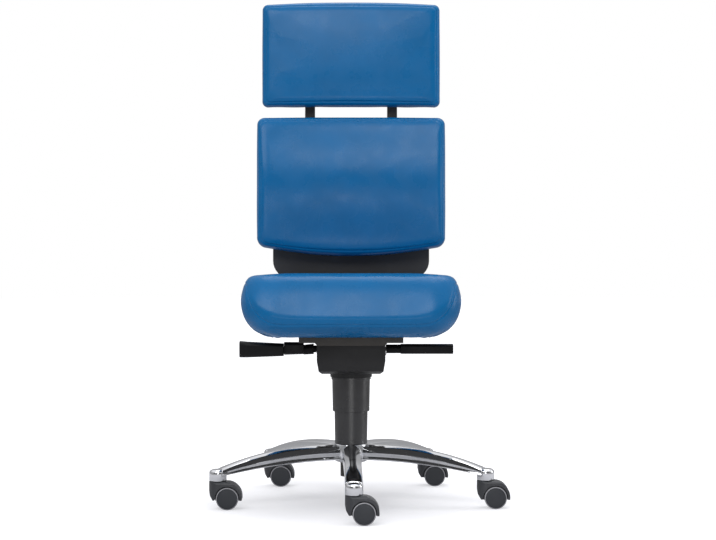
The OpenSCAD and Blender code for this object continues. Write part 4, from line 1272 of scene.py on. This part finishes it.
@dataclass
class UprightPad(Pad):
    """A pad of the backrest's frame, with its seam near the edge of the front panel."""

    half_width: float = 0.225
    half_height: float = 0.1535
    middle: float = 0.2288
    rear: float = -0.0004
    bow: float = 1 / (2 * BACK_WRAP)
    corner: float = 0.019
    table: Sequence[Sequence[float]] = ()
    ring_steps: int = 3
    sag_low: float = 0.0232
    sag_high: float = 0.003
    crown: float = 0.004
    seam_row: float = 6.0
    panel: float = 0.020
    roll: float = 0.008
    eye: float = 0.004
    lap: float = 0.06
    hold: float = 0.006
    edge_share: float = 0.8

    def bulge(self, z: float) -> float:
        """Returns how far the pad bulges at a height when its share is full."""
        return self.crown

    def swell(self, x: float, up: float) -> float:
        """Returns the share of the bulge on the front panel, full in its middle."""
        a, b = self.half_width - self.panel, self.half_height - self.panel
        rise = max(0.0, 1 - (x / a) ** 2) * max(0.0, 1 - (up / b) ** 2)
        return self.edge_share + (1 - self.edge_share) * rise

    def level(self, inset: float, depth: float, share: float) -> Ring:
        """Returns one ring of the pad in the backrest's own frame.

        Args:
            inset: how far it lies inside the outline.
            depth: how far it stands in front of the carrier.
            share: the share of the bulge that it takes.

        Returns:
            The ring.
        """
        edge = min(inset, 2 * self.panel)
        within = (self.half_height - inset) / (self.half_height - edge)
        a, b = (self.half_width - edge) * within, (self.half_height - edge) * within
        rolled = min(edge, self.roll)
        r = (self.corner - 0.5 * rolled + 0.9 * (edge - rolled)) * within
        ring = []
        for x, up in rounded_ring(a, b, r, 10, 24):
            full = share if inset <= self.panel else self.swell(x, up)
            sag = (self.sag_high if up > 0 else self.sag_low) * up / self.half_height
            z = self.middle + up + sag * (1 - (x / self.half_width) ** 2)
            y = self.rear - x * x * self.bow - depth - full * self.bulge(z)
            ring.append(Vector((x, y, z)))
        return ring

    def rings(self) -> list[Ring]:
        """Returns the rings from the carrier to the front, in the chair's frame."""
        place = back_matrix()
        deepest = self.half_height - self.eye
        rows = [*self.table, (deepest, *self.table[-1][1:])]
        smooth = cubic(np.array(rows), np.arange(0, len(rows) - 0.99, 1 / self.ring_steps))
        rings = [self.level(min(max(i, 0.0), deepest), d, s) for i, d, s in smooth]
        inset, depth, share = self.table[0]
        inner = self.level(inset + self.lap, depth, share)
        return [[place @ p for p in ring] for ring in [inner, *rings]]

    def held(self, point: Vector) -> bool:
        """Says whether a point lies against the shell behind the pad."""
        local = back_matrix().inverted() @ point
        return local.y > self.rear - local.x * local.x * self.bow - self.hold

    def seam_rings(self, rings: np.ndarray) -> np.ndarray:
        """Returns the ring of the seam, which is the same round the whole front panel."""
        return np.full(rings.shape[1], 1 + self.seam_row * self.ring_steps)


@dataclass
class BackPad(UprightPad):
    """Back pad with its lumbar bulge."""

    lumbar: float = 0.028
    lumbar_height: float = 0.235
    lumbar_spread: float = 0.120
    table: Sequence[Sequence[float]] = (
        (0.016, 0.0, 0.0), (0.005, 0.004, 0.0), (0.0, 0.012, 0.0), (0.002, 0.026, 0.0),
        (0.0, 0.038, 0.3), (0.003, 0.044, 0.5), (0.009, 0.0495, 0.70), (0.020, 0.052, 0.8),
        (0.040, 0.052, 0.9), (0.075, 0.052, 0.97), (0.115, 0.052, 1.0),
    )

    def bulge(self, z: float) -> float:
        """Returns the crown with the lumbar bulge at a height."""
        off = (z - self.lumbar_height) / self.lumbar_spread
        return self.crown + self.lumbar * math.exp(-(off**2))


@dataclass
class HeadPad(UprightPad):
    """Headrest pad, nearly flat in front."""

    half_width: float = 0.2145
    half_height: float = 0.1246
    middle: float = 0.5336
    rear: float = -0.0024
    bow: float = 0.0
    corner: float = 0.015
    sag_low: float = -0.002
    sag_high: float = 0.006
    crown: float = 0.012
    edge_share: float = 0.7
    table: Sequence[Sequence[float]] = (
        (0.016, 0.0, 0.0), (0.005, 0.004, 0.0), (0.0, 0.011, 0.0), (0.002, 0.021, 0.0),
        (0.0, 0.030, 0.0), (0.003, 0.036, 0.2), (0.009, 0.040, 0.45), (0.020, 0.042, 0.7),
        (0.040, 0.042, 0.85), (0.075, 0.042, 1.0),
    )


# Studio


@dataclass
class Studio:
    """Pale floor, soft lamps and the camera at the photograph's angle."""

    focal_pixels: float = 1994.3
    image_width: int = 716
    camera_at: tuple[float, float, float] = (0.00115, -4.5389, 0.70555)
    pitch: float = math.radians(2.2116)
    yaw: float = math.radians(0.1848)
    ambient: float = 0.66
    floor_near: float = 0.30
    floor_far: float = 0.85
    floor_gleam: float = 0.28
    front_bands: Profile = (
        (0.0, 0.9), (0.50, 0.3), (0.52, 0.2), (0.545, 0.05), (0.76, 0.04), (0.85, 0.9), (1.0, 1.0),
    )
    side_bands: Profile = (
        (0.0, 0.9), (0.50, 0.6), (0.52, 0.42), (0.60, 0.36), (0.70, 0.40), (0.85, 0.9), (1.0, 1.0),
    )
    tint: float = 1.02

    def camera(self) -> None:
        """Makes the camera."""
        data = bpy.data.cameras.new("camera")
        data.sensor_width = 36.0
        data.lens = self.focal_pixels * 36.0 / self.image_width
        data.clip_end = 60.0
        made = linked("camera", data)
        made.location = self.camera_at
        made.rotation_euler = (math.pi / 2 - self.pitch, 0.0, -self.yaw)
        bpy.context.scene.camera = made

    def lamp(
        self, name: str, at: Vector, aim: Vector, size: tuple[float, float], power: float
    ) -> None:
        """Adds a soft lamp.

        Args:
            name: its name.
            at: its place.
            aim: the point that it faces.
            size: its width and height.
            power: its power in watts.
        """
        data = bpy.data.lights.new(name, "AREA")
        data.shape = "RECTANGLE"
        data.size, data.size_y = size
        data.energy = power
        made = linked(name, data)
        made.location = at
        made.rotation_euler = (aim - at).to_track_quat("-Z", "Y").to_euler()

    def floor(self) -> None:
        """Lays the floor, which keeps the chair's shadow and fades to white around it."""
        verts, faces = lathe_data([(0.0, 0.0), (9.0, 0.0)], 96)
        mesh = bpy.data.meshes.new("floor")
        mesh.from_pydata([tuple(v) for v in verts], [], faces)
        mesh.update()
        if mesh.polygons[0].normal.z < 0:
            mesh.flip_normals()
        made = linked("floor", mesh)
        paint = bpy.data.materials.new("floor")
        paint.use_nodes = True
        graph = Graph(paint.node_tree)
        graph.tree.nodes.clear()
        out = graph.node("ShaderNodeOutputMaterial")
        add = graph.node("ShaderNodeAddShader")
        matt = graph.node("ShaderNodeBsdfDiffuse", Color=(0.60, 0.60, 0.62, 1))
        glow = graph.node("ShaderNodeEmission", Color=(0.975, 0.98, 1.0, 1))
        place = graph.node("ShaderNodeTexCoord")
        away = graph.node("ShaderNodeVectorMath", "LENGTH")
        fade = graph.node("ShaderNodeMapRange", From_Min=0.05, From_Max=0.75)
        fade.inputs["To Min"].default_value = self.floor_near
        fade.inputs["To Max"].default_value = self.floor_far
        gleam = graph.node("ShaderNodeEmission", Strength=self.floor_gleam)
        reach = graph.node("ShaderNodeMapRange", From_Min=0.8, From_Max=1.5)
        reach.interpolation_type = "SMOOTHSTEP"
        path = graph.node("ShaderNodeLightPath")
        level, part = (graph.node("ShaderNodeMath", "MULTIPLY") for _ in range(2))
        mirrored = graph.node("ShaderNodeMixShader")
        graph.link(
            (place.outputs["Object"], away.inputs[0]),
            (away.outputs["Value"], fade.inputs["Value"]),
            (away.outputs["Value"], reach.inputs["Value"]),
            (path.outputs["Is Camera Ray"], level.inputs[0]),
            (fade.outputs["Result"], level.inputs[1]),
            (level.outputs[0], glow.inputs["Strength"]),
            (path.outputs["Is Glossy Ray"], part.inputs[0]),
            (reach.outputs["Result"], part.inputs[1]),
            (matt.outputs[0], add.inputs[0]),
            (glow.outputs[0], add.inputs[1]),
            (part.outputs[0], mirrored.inputs["Fac"]),
            (add.outputs[0], mirrored.inputs[1]),
            (gleam.outputs[0], mirrored.inputs[2]),
            (mirrored.outputs[0], out.inputs["Surface"]),
        )
        mesh.materials.append(paint)

    def ramp(self, graph: Graph, height: Socket, stops: Profile) -> Socket:
        """Returns the room's brightness at a height.

        Args:
            graph: the world's node tree.
            height: the socket with the height from 0 at the nadir to 1 at the zenith.
            stops: heights and their brightness.

        Returns:
            The socket with the brightness.
        """
        node = graph.node("ShaderNodeValToRGB")
        line = node.color_ramp
        line.elements[0].position, line.elements[1].position = stops[0][0], stops[-1][0]
        for position, _ in stops[1:-1]:
            line.elements.new(position)
        for stop, (_, value) in zip(line.elements, stops):
            stop.color = (value, value, value * self.tint, 1)
        graph.link((height, node.inputs["Fac"]))
        return node.outputs["Color"]

    def world(self) -> None:
        """Sets an even room that the camera sees as white and polished metal as bands."""
        world = bpy.data.worlds.new("room")
        world.use_nodes = True
        bpy.context.scene.world = world
        graph = Graph(world.node_tree)
        graph.tree.nodes.clear()
        even = (self.ambient, self.ambient, self.ambient * self.tint, 1)
        out = graph.node("ShaderNodeOutputWorld")
        room = graph.node("ShaderNodeBackground", Color=even)
        bands = graph.node("ShaderNodeBackground")
        white = graph.node("ShaderNodeBackground", Color=(1, 1, 1, 1))
        shine, seen = (graph.node("ShaderNodeMixShader") for _ in range(2))
        path = graph.node("ShaderNodeLightPath")
        place = graph.node("ShaderNodeTexCoord")
        split = graph.node("ShaderNodeSeparateXYZ")
        span = graph.node("ShaderNodeMapRange", From_Min=-1.0)
        turn = graph.node("ShaderNodeMapRange", From_Min=-0.80, From_Max=-0.35)
        turn.interpolation_type = "SMOOTHSTEP"
        both = graph.node("ShaderNodeMix")
        both.data_type = "RGBA"
        height = span.outputs["Result"]
        graph.link(
            (place.outputs["Generated"], split.inputs[0]),
            (split.outputs["Z"], span.inputs["Value"]),
            (split.outputs["Y"], turn.inputs["Value"]),
            (turn.outputs["Result"], both.inputs[0]),
            (self.ramp(graph, height, self.front_bands), both.inputs[6]),
            (self.ramp(graph, height, self.side_bands), both.inputs[7]),
            (both.outputs[2], bands.inputs["Color"]),
            (path.outputs["Is Glossy Ray"], shine.inputs["Fac"]),
            (room.outputs[0], shine.inputs[1]),
            (bands.outputs[0], shine.inputs[2]),
            (path.outputs["Is Camera Ray"], seen.inputs["Fac"]),
            (shine.outputs[0], seen.inputs[1]),
            (white.outputs[0], seen.inputs[2]),
            (seen.outputs[0], out.inputs["Surface"]),
        )

    def build(self) -> None:
        """Builds the whole studio."""
        bpy.context.scene.view_settings.view_transform = "Standard"
        self.camera()
        self.world()
        self.floor()
        middle = Vector((0, 0, 0.7))
        column = Vector((0, 0, 0.20))
        self.lamp("key", Vector((-0.85, -3.0, 2.75)), middle, (2.8, 1.3), 52)
        self.lamp("front", Vector((0.1, -4.4, 0.20)), column, (1.7, 0.4), 12)
        self.lamp("edge_right", Vector((2.6, 0.1, 1.0)), middle, (0.7, 1.8), 12)
        self.lamp("top", Vector((0.3, 0.6, 3.2)), middle, (2.4, 2.4), 36)


def dress_nodes() -> None:
    """Gives every CAD node that stays the finish of its slot."""
    for row in frame["record"]["subparts"]:
        node = frame["nodes"].get(row["node"])
        if node is None:
            continue
        material = SLOT_FINISHES[row["material_slot"]].material()
        if not node.material_slots:
            node.data.materials.append(material)
        for slot in node.material_slots:
            slot.material = material


RIGID = {
    "mechanism_housing": ("chassis", "black_plastic", 0.0014),
    "seat_lever": ("seat_lever", "black_plastic", 0.0018),
    "seat_carrier": ("seat_frame", "painted_steel", 0.0008),
    "seat_runners": ("seat", "black_plastic", 0.0008),
    "seat_shell": ("seat", "black_plastic", 0.0018),
    "back_carrier": ("back_arm", "painted_steel", 0.0016),
    "back_shell": ("backrest", "black_plastic", 0.0018),
    "bar_guides": ("backrest", "black_plastic", 0.0010),
    "headrest_bar_left": ("headrest", "painted_steel", 0.0009),
    "headrest_bar_right": ("headrest", "painted_steel", 0.0009),
    "headrest_shell": ("headrest", "black_plastic", 0.0016),
}


def main() -> None:
    """Builds the chair, part by part, in its studio."""
    logging.basicConfig(level=logging.INFO, format="%(name)s: %(message)s")
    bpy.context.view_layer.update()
    dress_nodes()
    StarBase().build(round_recipe())
    Casters().build()
    Sleeves().build()
    EdgedCopies(parts=RIGID).build()
    LeverPair().build()
    sewing = stitch_recipe()
    for pad in (
        SeatPad("seat_pad", "seat_cushion", "seat"),
        BackPad("back_pad", "back_cushion", "backrest"),
        HeadPad("head_pad", "headrest_cushion", "headrest"),
    ):
        pad.build(sewing)
    Studio().build()


if __name__ == "__main__":
    main()
